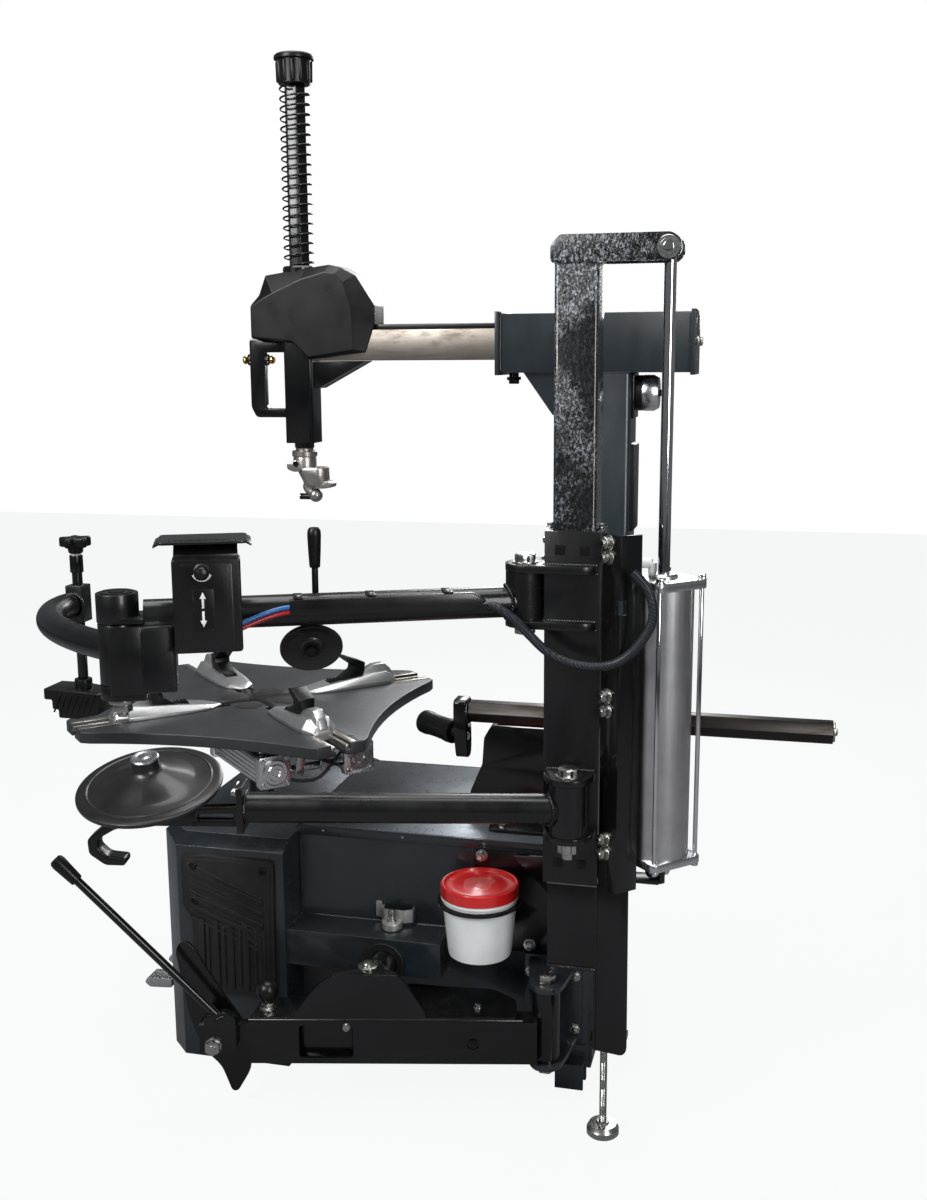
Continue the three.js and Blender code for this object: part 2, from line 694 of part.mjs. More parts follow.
const COVER_EDGE = [
  [26, 1566], [27, 1640], [46, 1660], [62, 1702], [161, 1716], [210, 1722], [236, 1716], [270, 1698],
    [312, 1634], [312, 1598],
  [290, 1535], [163, 1520], [122, 1556],
];

function headCover() {
  const half = 50;
  const wall = 4;
  const shell = prism("x", outline(COVER_EDGE, 8), -half, half);
  const cavityEdge = [
    [31, 1500], [31, 1637], [49, 1656], [65, 1697], [210, 1717], [234, 1711], [267, 1693], [307, 1632],
      [307, 1599], [286, 1540], [200, 1526], [126, 1500],
  ];
  const cavity = prism("x", outline(cavityEdge), wall - half, half - wall);
  const barHole = block(-BAR_HALF - 1, BAR_HALF + 1, 150, 330, BAR_BOTTOM - 20, BAR_TOP + 14);
  const collarHole = bar([0, HEAD_Y, 1650], [0, HEAD_Y, 1740], 38);
  return cut(shell, cavity, barHole, collarHole);
}

function shaftTube() {
  const tube = block(-TUBE_HALF, TUBE_HALF, HEAD_Y - TUBE_HALF, HEAD_Y + TUBE_HALF, TUBE_BOTTOM, 1700);
  const seat = bar([0, HEAD_Y, 1695], [0, HEAD_Y, SPRING_SEAT], 37);
  const back = HEAD_Y + TUBE_HALF;
  const webTop = BAR_BOTTOM - GAP;
  const web = prism("x", outline([[back - 2, 1457], [176, 1457], [285, webTop], [back - 2, webTop]]),
    -5, 5);
  const bore = bar([0, HEAD_Y, TUBE_BOTTOM - 5], [0, HEAD_Y, SPRING_SEAT + 5], 24.6);
  return cut(join(tube, seat, web), bore);
}

function dHandle() {
  const face = HEAD_Y - TUBE_HALF - GAP;
  const outer = outline([[8, 1565], [8, 1415], [20, 1392], [face, 1392], [face, 1565]], 6);
  const opening = outline([[44, 1536], [44, 1418], [50, 1412], [face + 5, 1412], [face + 5, 1536]]);
  const flat = cut(prism("x", outer, -9, 9), prism("x", opening, -12, 12));
  const buttonHole = bar([0, 0, BUTTON_Z], [0, 60, BUTTON_Z], 4.6, 16);
  return cut(flat, buttonHole);
}


function lockButton() {
  const stem = bar([0, -8, BUTTON_Z], [0, 60, BUTTON_Z], 4, 16);
  const knobs = [[-10, 2], [50, 64]].map(([a, b]) => bar([0, a, BUTTON_Z], [0, b, BUTTON_Z], 9, 16));
  return join(stem, ...knobs);
}

function hexShaft() {
  return hexagon(0, HEAD_Y, 1324, CAP_BOTTOM - GAP, HEX_AF);
}

function shaftCap() {
  return turned([[0, CAP_BOTTOM], [37, CAP_BOTTOM], [38, 2148], [43, 2153], [43, CAP_TOP - 4],
    [39, CAP_TOP], [0, CAP_TOP]], 0, HEAD_Y);
}

class Helix extends THREE.Curve {
  constructor(radius, turns, z0, z1) {
    super();
    Object.assign(this, { radius, turns, z0, z1 });
  }

  getPoint(t, target = new THREE.Vector3()) {
    const angle = t * this.turns * Math.PI * 2;
    return target.set(this.radius * Math.cos(angle), this.radius * Math.sin(angle),
      this.z0 + (this.z1 - this.z0) * t);
  }
}

function returnSpring() {
  const wire = 2.2;
  const turns = 18;
  const clear = wire + GAP;
  const helix = new Helix(32, turns, SPRING_SEAT + clear, CAP_BOTTOM - clear);
  return rodAlong(helix, wire, turns * 12, 2).translate([0, HEAD_Y, 0]);
}

function mountHead() {
  const y = HEAD_Y;
  const collar = bar([0, y, 1303], [0, y, 1324 - GAP], 23);
  const neck = bar([0, y, 1262], [0, y, 1305], 24);
  const wing = prism("z", outline([[-30, y - 22], [24, y - 26], [34, y + 30], [12, y + 68],
    [-20, y + 60], [-34, y + 16]], 10), 1238, 1264);
  const beak = prism("x", outline([[y - 30, 1262], [y - 8, 1262], [y + 6, 1226], [y - 2, 1203],
    [y - 26, 1203], [y - 24, 1232]], 8), -16, 14);
  return join(collar, neck, wing, beak);
}

const slideGroup = body("slide_arm", columnGroup);
part(slideGroup, "slide_arm", slideArm(), STEEL);
part(slideGroup, "head_cover", headCover(), PLASTIC);
part(slideGroup, "shaft_tube", shaftTube(), BLACK);
part(slideGroup, "d_handle", dHandle(), BLACK);
part(body("lock_button", slideGroup), "lock_button", lockButton(), BRASS);
const shaftGroup = body("mount_shaft", slideGroup);
part(shaftGroup, "hex_shaft", hexShaft(), BLACK);
part(shaftGroup, "shaft_cap", shaftCap(), PLASTIC);
part(shaftGroup, "return_spring", returnSpring(), BLACK);
part(shaftGroup, "mount_head", mountHead(), CAST);

// ---------------------------------------------------------------- helper tower

function towerBracket() {
  const face = REAR_HALF + GAP;
  const sidePlate = prism("x", outline([[580, 507], [580, 300], [600, 281], [832, 281], [832, 507]], 8),
    face, face + 10);
  const socket = block(face + 5, 466, 776, 872, SOCKET_BOTTOM, SOCKET_TOP);
  const post = block(TOWER_X - POST_HALF - GAP, TOWER_X + POST_HALF + GAP, TOWER_Y - POST_HALF - GAP,
    TOWER_Y + POST_HALF + GAP, 300, 600);
  const hollow = block(face + 20, TOWER_X - POST_HALF - 12, 786, 862, SOCKET_BOTTOM - 5,
    SOCKET_TOP + 5);
  const brace = prism("x", outline([[668, 500], [780, 500], [780, 385]]), face + 18, face + 26);
  const braceRoot = block(face, face + 26, 700, 780, 470, 500);
  const fin = prism("x", outline([[866, SOCKET_TOP], [866, 196], [924, 190], [932, 200],
    [930, SOCKET_TOP]], 6), 455, 463);
  const shelf = block(400, 458, 858, 928, 200, 212);
  const footHole = bar([FOOT[0], FOOT[1], 180], [FOOT[0], FOOT[1], 230], 8);
  const made = join(sidePlate, socket, brace, braceRoot, fin, shelf, bucketRing());
  return cut(made, post, hollow, footHole);
}

const FOOT = [428, 884];
const BUCKET = [336, 612];

function bucketRing() {
  const [x, y] = BUCKET;
  const ring = cut(bar([x, y, 424], [x, y, 431], 86), bar([x, y, 420], [x, y, 440], 79));
  return join(ring, block(REAR_HALF + 5, x - 80, y - 12, y + 12, 415, 431));
}

function towerPost() {
  const wall = 5;
  const [x0, x1, y0, y1] = [TOWER_X - POST_HALF, TOWER_X + POST_HALF, TOWER_Y - POST_HALF,
    TOWER_Y + POST_HALF];
  return cut(
    block(x0, x1, y0, y1, SOCKET_BOTTOM, POST_TOP - GAP),
    block(x0 + wall, x1 - wall, y0 + wall, y1 - wall, SOCKET_BOTTOM - 5, POST_TOP + 5),
  );
}

function towerHead() {
  const side = outline([[774, POST_TOP], [774, 1716], [790, 1733], [985, 1733], [1001, 1722],
    [1003, 1700], [990, POST_TOP]], 6);
  const plates = [[TOWER_X - 42, TOWER_X - 32], [TOWER_X + 34, TOWER_X + 44]].map(([a, b]) => prism("x",
    side, a, b));
  const seat = block(TOWER_X - 40, TOWER_X + 40, 776, 864, POST_TOP, POST_TOP + 8);
  const web = block(TOWER_X - 40, TOWER_X + 40, 792, 940, 1725, 1733);
  const pinHole = bar([350, ROD_Y, ROD_PIN_Z], [490, ROD_Y, ROD_PIN_Z], 10);
  return cut(join(...plates, seat, web), pinHole);
}

function helperRod() {
  const rod = bar([TOWER_X, ROD_Y, 1085], [TOWER_X, ROD_Y, ROD_PIN_Z], ROD_R);
  const eye = bar([TOWER_X - 24, ROD_Y, ROD_PIN_Z], [TOWER_X + 24, ROD_Y, ROD_PIN_Z], 18);
  const pin = bar([TOWER_X - 48, ROD_Y, ROD_PIN_Z], [TOWER_X + 48, ROD_Y, ROD_PIN_Z], 9.5);
  const piston = bar([TOWER_X, ROD_Y, 1070], [TOWER_X, ROD_Y, 1092], BORE_R - 1);
  return join(rod, eye, pin, piston);
}

function levellingFoot() {
  const [x, y] = FOOT;
  const pad = turned([[0, 0], [32, 0], [32, 14], [27, 22], [0, 22]], x, y);
  const stud = bar([x, y, 20], [x, y, 250], 7.2, 16);
  const nuts = [[187, 200 - GAP], [212 + GAP, 224]].map(([a, b]) => hexagon(x, y, a, b, 24));
  return join(pad, stud, ...nuts);
}

function bucket() {
  const [x, y] = BUCKET;
  const rim = 446 - GAP;
  return turned([[0, 314], [64, 314], [77, 436], [77, rim], [73.5, rim], [61, 318], [0, 318]], x, y);
}

function bucketLid() {
  const [x, y] = BUCKET;
  return turned([[0, 452], [70, 452], [72, 446], [81, 446], [81, 463], [76, 467], [72, 461], [0, 459]],
    x, y);
}

part(base, "tower_bracket", towerBracket(), BLACK);
part(base, "tower_post", towerPost(), BLACK);
part(base, "tower_head", towerHead(), BLACK);
part(base, "helper_rod", helperRod(), CHROME);
part(base, "levelling_foot", levellingFoot(), STEEL);
part(base, "bucket", bucket(), WHITE);
part(base, "bucket_lid", bucketLid(), RED);

// ---------------------------------------------------------------- carriage on the tower

function carriageSleeve() {
  const [x0, x1] = [TOWER_X - SLEEVE_HALF, TOWER_X + SLEEVE_HALF];
  const [y0, y1] = [TOWER_Y - SLEEVE_HALF, TOWER_Y + SLEEVE_HALF];
  const sleeve = block(x0, x1, y0, y1, SLEEVE_BOTTOM, SLEEVE_TOP);
  const [ux, uy] = UPPER_PIVOT;
  const upperEdge = outline([[360, 868], [470, 868], [492, 850], [492, 718], [470, 692], [430, 690],
    [408, 710], [360, 760]], 20);
  const upperPlates = [[1136, 1150], [1032, 1046]].map(([a, b]) => prism("z", upperEdge, a, b));
  const [lx, ly] = LOWER_PIVOT;
  const lowerEdge = outline([[465, 772], [500, 772], [540, 792], [548, ly], [540, 852], [500, 868],
    [465, 868]], 14);
  const lowerPlates = [[752, 764], [640, 652]].map(([a, b]) => prism("z", lowerEdge, a, b));
  const upperPin = join(bar([ux, uy, 1030], [ux, uy, 1150], 13), hexagon(ux, uy, 1149, 1164, 34));
  const lowerPin = join(bar([lx, ly, 636], [lx, ly, 764], 13), hexagon(lx, ly, 763, 778, 34),
    hexagon(lx, ly, 618, 641, 32));
  const lug = join(
    block(400, 440, y1 - 2, 985, 537, 545),
    prism("x", outline([[y1 - 2, 537], [y1 - 2, 592], [888, 592], [908, 572], [940, 556], [940, 537]],
      8), 414, 426),
    turnAbout(block(414, 426, 964, 996, 537, 572), -45, TOWER_X, ROD_Y),
  );
  const [hx, hz] = HEX_BAR;
  const hexHolder = block(hx - 34, x0 + 2, 778, 862, hz - 32, hz + 32);
  const hexHole = bar([hx, 700, hz], [hx, 900, hz], (HEX_AF + 3) / Math.sqrt(3), 6);
  const clampScrew = bar([hx, TOWER_Y, hz + 30], [hx, TOWER_Y, hz + 52], 7, 12);
  const made = join(sleeve, ...upperPlates, ...lowerPlates, upperPin, lowerPin, lug, hexHolder,
    clampScrew);
  const clear = POST_HALF + 2;
  const passage = block(TOWER_X - clear, TOWER_X + clear, TOWER_Y - clear, TOWER_Y + clear, 500, 1300);
  return cut(made, passage, turnHexFlat(hexHole, hx, hz));
}

// Turns a hexagonal bar along Y so that two flats face up and down.
function turnHexFlat(piece, x, z) {
  return piece.translate([-x, 0, -z]).rotate([0, HEX_BAR_TURN, 0]).translate([x, 0, z]);
}

const HEX_BAR_TURN = 30;

function clampPlate() {
  const thick = 7;
  const start = [TOWER_X + SLEEVE_HALF + 2, 874.6];
  const ridge = [start[0] + 38, start[1] + 38];
  const end = [ridge[0] - 34, ridge[1] + 34];
  const step = thick / Math.SQRT2;
  const edge = outline([
    start,
    ridge,
    end,
    [end[0] - step, end[1] - step],
    [ridge[0] - 2 * step, ridge[1]],
    [start[0] - step, start[1] + step],
  ]);
  const plate = prism("z", edge, 541, SLEEVE_TOP - 1);
  const notch = block(ridge[0] - 14, ridge[0] + 10, ridge[1] - 10, ridge[1] + 10, 1068, 1095);
  const out = [Math.SQRT1_2, -Math.SQRT1_2, 0];
  const bolts = [1196, 1170, 914, 886, 640, 612].map((z) => {
    const at = [start[0] + 14, start[1] + 14, z];
    return join(boltHead([at[0] - 2, at[1] + 2, z], out, 19, 12),
      bar([at[0] - 4, at[1] + 4, z], [at[0] + 13, at[1] - 13, z], 5, 10));
  });
  return join(cut(plate, notch), ...bolts);
}

function liftCylinder() {
  const half = 58.5;
  const rodAt = 49;
  const bottomPlate = prism("z", outline([[-half, -half], [half, -half], [half, half], [-half, half]],
    10), CYL_BOTTOM, CYL_BOTTOM + 16);
  const topPlate = prism("z", outline([[-half, -half], [half, -half], [half, half], [-half, half]], 10),
    CYL_TOP - 17, CYL_TOP);
  const tube = cut(
    bar([0, 0, CYL_BOTTOM + 10], [0, 0, CYL_TOP - 10], CYL_R - 1.5),
    bar([0, 0, CYL_BOTTOM + 16], [0, 0, CYL_TOP + 10], BORE_R),
  );
  const gland = bar([0, 0, CYL_TOP - 1], [0, 0, CYL_TOP + 8], 22);
  const rods = [];
  for (const [x, y] of [[rodAt, rodAt], [-rodAt, rodAt], [rodAt, -rodAt], [-rodAt, -rodAt]]) {
    rods.push(bar([x, y, CYL_BOTTOM + 8], [x, y, CYL_TOP + 4], 4.5, 10));
    rods.push(hexagon(x, y, CYL_TOP - 1, CYL_TOP + 7, 13));
  }
  const ears = [[-19, -7], [7, 19]].map(([a, b]) => prism("x",
    outline([[-15, 583], [-15, 560], [-8, 548], [8, 548], [15, 560], [15, 583]], 6), a, b));
  const rodHole = bar([0, 0, CYL_TOP - 40], [0, 0, CYL_TOP + 20], ROD_R + 0.8);
  return cut(join(bottomPlate, tube, topPlate, gland, ...rods, ...ears), rodHole);
}

const carriage = body("carriage", base);
part(carriage, "carriage_sleeve", carriageSleeve(), BLACK);
part(carriage, "clamp_plate", clampPlate(), BLACK);
const liftGroup = swingGroup("lift", carriage, [TOWER_X, ROD_Y], -45);
part(liftGroup, "lift_cylinder", liftCylinder(), ALUMINIUM);

// ---------------------------------------------------------------- upper helper arm

// The arm is drawn about its hinge, pointing along -Y.
function upperArm() {
  const hinge = bar([0, 0, 1046 + GAP], [0, 0, 1136 - GAP], 36);
  const tube = bar([0, -20, UPPER_Z], [0, -ELBOW_REACH + 40, UPPER_Z], ARM_R);
  const blockEdge = outline([[-35, -638], [35, -638], [35, -ELBOW_REACH], [-35, -ELBOW_REACH]]);
  const housing = prism("z", blockEdge, 944, 1082);
  const cheek = block(30, 46, -750, -640, 944, 1066);
  const topEar = bar([0, -ELBOW_REACH, 1068], [0, -ELBOW_REACH, 1121], 37);
  const bottomEar = bar([0, -ELBOW_REACH, 931], [0, -ELBOW_REACH, 958], 37);
  const room = bar([0, -ELBOW_REACH, 958 + GAP], [0, -ELBOW_REACH, 1068 - GAP], 39);
  const elbowPin = bar([0, -ELBOW_REACH, 925], [0, -ELBOW_REACH, 1100], 12);
  const nut = hexagon(0, -ELBOW_REACH, 905, 932, 32);
  const hole = bar([0, 0, 1020], [0, 0, 1160], 14);
  const shell = cut(join(hinge, tube, housing, cheek, topEar, bottomEar), room, hole);
  return join(shell, elbowPin, nut);
}

function cableCover() {
  const x = ARM_R + GAP;
  const edge = outline([[-436, 1074], [-436, 1102], [-425, 1104], [-105, 1104], [-80, 1088],
    [-105, 1070]]);
  return prism("x", edge, x, x + 14);
}

function controlBox() {
  const x0 = ARM_R + 1;
  const x1 = 76;
  const box = cut(block(x0, x1, -636, -519, 1021, 1187), block(x0 + 4, x1 - 4, -632, -523, 1010, 1183));
  const bridge = block(-10, x0 + 2, -600, -560, 1107, 1115);
  const upright = block(x0, x0 + 5, -636, -519, 1185, 1214);
  const tray = prism("z", outline([[-20, -658], [88, -658], [88, -506], [-20, -506]], 8), 1212, 1219);
  const opening = bar([x1 - 20, -585, JOYSTICK_Z], [x1 + 5, -585, JOYSTICK_Z], 14);
  return cut(join(box, bridge, upright, tray), opening);
}

const JOYSTICK_Z = 1165;

function joystick() {
  const stem = bar([62, -585, JOYSTICK_Z], [88, -585, JOYSTICK_Z], 5, 14);
  const ball = new THREE.SphereGeometry(13, 14, 10);
  ball.translate(96, -585, JOYSTICK_Z);
  return join(stem, solid(ball));
}

// The press disc's bracket turns about a hinge line beside the tube, and its lever stands above.
const PRESS_SIDE = -ARM_R - 12;

function discBracket() {
  const s = -385;
  const hub = bar([PRESS_SIDE, s - 30, UPPER_Z], [PRESS_SIDE, s + 30, UPPER_Z], 11, 20);
  const lever = bar([PRESS_SIDE, s, UPPER_Z], [PRESS_SIDE + 6, s, 1160], 6, 14);
  const grip = bar([PRESS_SIDE + 6, s, 1150], [PRESS_SIDE + 10, s, 1222], 12, 16, 9);
  const arm = bar([PRESS_SIDE, s, UPPER_Z], alongPress(-9), 8, 14);
  return join(hub, lever, grip, arm, pressAxle());
}

const PRESS_AXIS = [0.84, 0, -0.54];
const PRESS_ROOT = [PRESS_SIDE - 12, -395, 1006];

function alongPress(distance) {
  return PRESS_ROOT.map((value, i) => value + PRESS_AXIS[i] * distance);
}

function pressAxle() {
  return bar(alongPress(-14), alongPress(30), 7, 14);
}

function pressDisc() {
  const rim = bar(alongPress(12), alongPress(20), 58, FINE);
  const cone = bar(alongPress(5), alongPress(12.5), 26, FINE, 56);
  const hole = bar(alongPress(-20), alongPress(60), 8, 14);
  return cut(join(rim, cone), hole);
}

const upper = swingGroup("upper_arm", carriage, UPPER_PIVOT, UPPER_SWING);
part(upper, "upper_arm", upperArm(), BLACK);
part(upper, "cable_cover", cableCover(), BLACK);
part(upper, "control_box", controlBox(), BLACK);
part(body("joystick", upper), "joystick", joystick(), PLASTIC);
const discGroup = body("disc_bracket", upper);
part(discGroup, "disc_bracket", discBracket(), BLACK);
part(body("press_disc", discGroup), "press_disc", pressDisc(), PLASTIC);

// ---------------------------------------------------------------- elbow arm and pusher

// Where the elbow stands at rest, in the machine's frame.
function elbowPoint() {
  const angle = THREE.MathUtils.degToRad(UPPER_SWING);
  return [UPPER_PIVOT[0] + ELBOW_REACH * Math.sin(angle),
    UPPER_PIVOT[1] - ELBOW_REACH * Math.cos(angle)];
}

function bentArm() {
  const [ex, ey] = elbowPoint();
  const z = 1018;
  const barrel = bar([ex, ey, 958 + 2 * GAP], [ex, ey, 1068 - 2 * GAP], 36);
  const path = new THREE.CubicBezierCurve3(
    new THREE.Vector3(ex - 8, ey - 14, z),
    new THREE.Vector3(ex - 88, ey - 185, z),
    new THREE.Vector3(535, -258, z + 4),
    new THREE.Vector3(PUSHER[0] + 14, PUSHER[1] - 8, z + 8),
  );
  const tube = rodAlong(path, 26, 14);
  const [px, py] = PUSHER;
  const holder = block(px - 19, px + 19, py - 19, py + 19, 990, 1066);
  const rodHole = bar([px, py, 960], [px, py, 1100], 11.5, 20);
  const pinHole = bar([ex, ey, 940], [ex, ey, 1090], 13);
  return cut(join(barrel, tube, holder), rodHole, pinHole);
}

function pusherRod() {
  const [x, y] = PUSHER;
  const rod = bar([x, y, 868], [x, y, 1120], 10.5, 20);
  const sleeve = bar([x, y, 1092], [x, y, 1128], 13, 20);
  const neck = bar([x, y, 1126], [x, y, 1146], 15, 20);
  const star = join(...[0, 1, 2].map((i) => turnAbout(block(x - 33, x + 33, y - 11, y + 11, 1144, 1166),
    60 * i + 10, x, y)));
  return join(rod, sleeve, neck, star);
}

function pusherBlock() {
  const [x, y] = PUSHER;
  const edge = outline([
    [y + 50, 800], [y + 50, 842], [y - 10, 850], [y - 74, 850], [y - 74, 826], [y - 56, 826],
      [y - 56, 806], [y - 42, 806], [y - 42, 788], [y, 788],
  ], 4);
  const wedge = prism("x", edge, x - 36, x + 36);
  const boss = bar([x, y, 840], [x, y, 868 - GAP], 18, 20);
  return join(wedge, boss);
}

const elbow = body("elbow_arm", upper);
elbow.rotation.z = -upper.rotation.z;
elbow.position.set(...new THREE.Vector3(-UPPER_PIVOT[0], -UPPER_PIVOT[1],
  0).applyAxisAngle(new THREE.Vector3(0, 0, 1), -upper.rotation.z));
part(elbow, "bent_arm", bentArm(), BLACK);
const pusher = body("pusher", elbow);
part(pusher, "pusher_rod", pusherRod(), BLACK);
part(pusher, "pusher_block", pusherBlock(), PLASTIC);

// ---------------------------------------------------------------- roller bar

function hexBar() {
  const [x, z] = HEX_BAR;
  const rail = turnHexFlat(bar([x, 580, z], [x, 1296, z], HEX_AF / Math.sqrt(3), 6), x, z);
  const endCap = bar([x, 1295, z], [x, 1303, z], 16, 20);
  const crank = prism("y", outline([[x - 24, z + 26], [x + 26, z + 26], [x + 26, z - 40], [x + 6, 718],
    [x - 24, 718], [x - 30, 740]], 10), 556, 582);
  const axle = bar(rollerPoint(-8), rollerPoint(12), 9, 16);
  return join(rail, endCap, crank, axle);
}

const ROLLER_START = [296, 566, 765];
const ROLLER_AXIS = [-0.62, -0.785, 0];

function rollerPoint(distance) {
  return ROLLER_START.map((value, i) => value + ROLLER_AXIS[i] * distance);
}

function roller() {
  const barrel = bar(rollerPoint(24), rollerPoint(128), 25);
  const bore = bar(rollerPoint(0), rollerPoint(40), 10, 16);
  return cut(barrel, bore);
}

const rail = body("hex_bar", carriage);
part(rail, "hex_bar", hexBar(), BLACK);
part(body("roller", rail), "roller", roller(), PLASTIC);

// ---------------------------------------------------------------- lower helper arm

// The arm is drawn about its hinge, pointing along -Y.
function lowerArm() {
  const hinge = bar([0, 0, 652 + GAP], [0, 0, 752 - GAP], 34.5);
  const tube = bar([0, -20, LOWER_Z], [0, -617, LOWER_Z], 28.5);
  const flange = block(-32, 32, -612, -600, 658, 748);
  const fork = prism("x", outline([[-604, 668], [-604, 704], [-700, 694], [-800, 690], [-800, 668]], 6),
    -14, 14);
  const hook = prism("x", outline([[-785, 690], [-865, 668], [-898, 640], [-896, 612], [-866, 592],
    [-828, 590], [-828, 604], [-862, 608], [-880, 626], [-876, 642], [-845, 660], [-785, 672]], 5), -18,
    18);
  const spindle = bar(alongDisc(-64), alongDisc(30), 11, 20);
  const hole = bar([0, 0, 630], [0, 0, 780], 14);
  return cut(join(hinge, tube, flange, fork, hook, spindle), hole);
}

// The lift disc's axis leans outwards in the machine's frame; this gives points along it in the arm's
// frame.
function alongDisc(distance) {
  const lean = THREE.MathUtils.degToRad(DISC_TILT);
  const turn = THREE.MathUtils.degToRad(-LOWER_SWING);
  const side = Math.sin(lean) * distance;
  return [side * Math.cos(turn), -DISC_REACH + side * Math.sin(turn),
    DISC_Z + Math.cos(lean) * distance];
}

function liftDisc() {
  const profile = [
    [0, 34], [13, 34], [13, 0], [52, -4], [126, -9], [133, -9], [DISC_R, -5], [DISC_R, 0],
    [131, 3], [86, 11], [50, 32], [34, 42], [26, 46], [26, 58], [22, 61], [0, 61],
  ];
  const disc = turned(profile, 0, 0, FINE);
  return disc.rotate([0, DISC_TILT, 0]).rotate([0, 0, -LOWER_SWING]).translate([0, -DISC_REACH,
    DISC_Z]);
}

const lower = swingGroup("lower_arm", carriage, LOWER_PIVOT, LOWER_SWING);
part(lower, "lower_arm", lowerArm(), BLACK);
part(body("lift_disc", lower), "lift_disc", liftDisc(), PLASTIC);

// ---------------------------------------------------------------- pedals

function pedal(x) {
  const pivot = [48, 92];
  const boss = bar([x - 20, pivot[0], pivot[1]], [x + 20, pivot[0], pivot[1]], 14, 16);
  const lever = prism("x", outline([[pivot[0], 84], [-170, 78], [-170, 94], [pivot[0], 100]]), x - 9,
    x + 9);
  const pad = prism("x", outline([[-228, 84], [-222, 96], [-160, 98], [-160, 78], [-215, 74]], 3),
    x - 24, x + 24);
  return join(boss, lever, pad);
}

PEDALS.forEach((x, i) => {
  part(body("pedal_" + (i + 1), base), "pedal_" + (i + 1), pedal(x), CAST);
});

export default machine;
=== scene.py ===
"""A tire changer with a side bead breaker and a pneumatic helper tower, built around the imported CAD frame."""
import json
import math
import random

import bmesh
import bpy
from mathutils import Matrix, Vector


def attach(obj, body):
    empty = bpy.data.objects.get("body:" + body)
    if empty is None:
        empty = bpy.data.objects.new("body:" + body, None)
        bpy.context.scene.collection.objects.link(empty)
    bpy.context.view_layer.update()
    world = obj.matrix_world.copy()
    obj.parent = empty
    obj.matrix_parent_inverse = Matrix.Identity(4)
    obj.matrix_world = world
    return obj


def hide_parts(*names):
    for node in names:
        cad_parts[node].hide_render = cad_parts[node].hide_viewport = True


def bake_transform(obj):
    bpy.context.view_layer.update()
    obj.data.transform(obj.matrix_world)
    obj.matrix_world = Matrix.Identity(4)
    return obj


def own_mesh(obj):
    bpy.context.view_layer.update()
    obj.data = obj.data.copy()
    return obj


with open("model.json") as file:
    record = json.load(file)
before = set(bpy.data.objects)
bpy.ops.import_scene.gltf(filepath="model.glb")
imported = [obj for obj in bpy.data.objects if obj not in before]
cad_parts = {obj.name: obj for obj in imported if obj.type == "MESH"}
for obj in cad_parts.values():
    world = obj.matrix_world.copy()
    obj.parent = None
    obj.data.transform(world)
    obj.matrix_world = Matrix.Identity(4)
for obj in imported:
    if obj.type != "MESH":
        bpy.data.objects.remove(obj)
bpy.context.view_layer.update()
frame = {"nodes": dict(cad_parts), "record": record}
NODES = frame["nodes"]
BODY_OF = {node: body for body, nodes in frame["record"]["behaviour"]["bodies"].items() for node in nodes}
MM = 0.001
random.seed(7)


# ------------------------------------------------------------------ materials

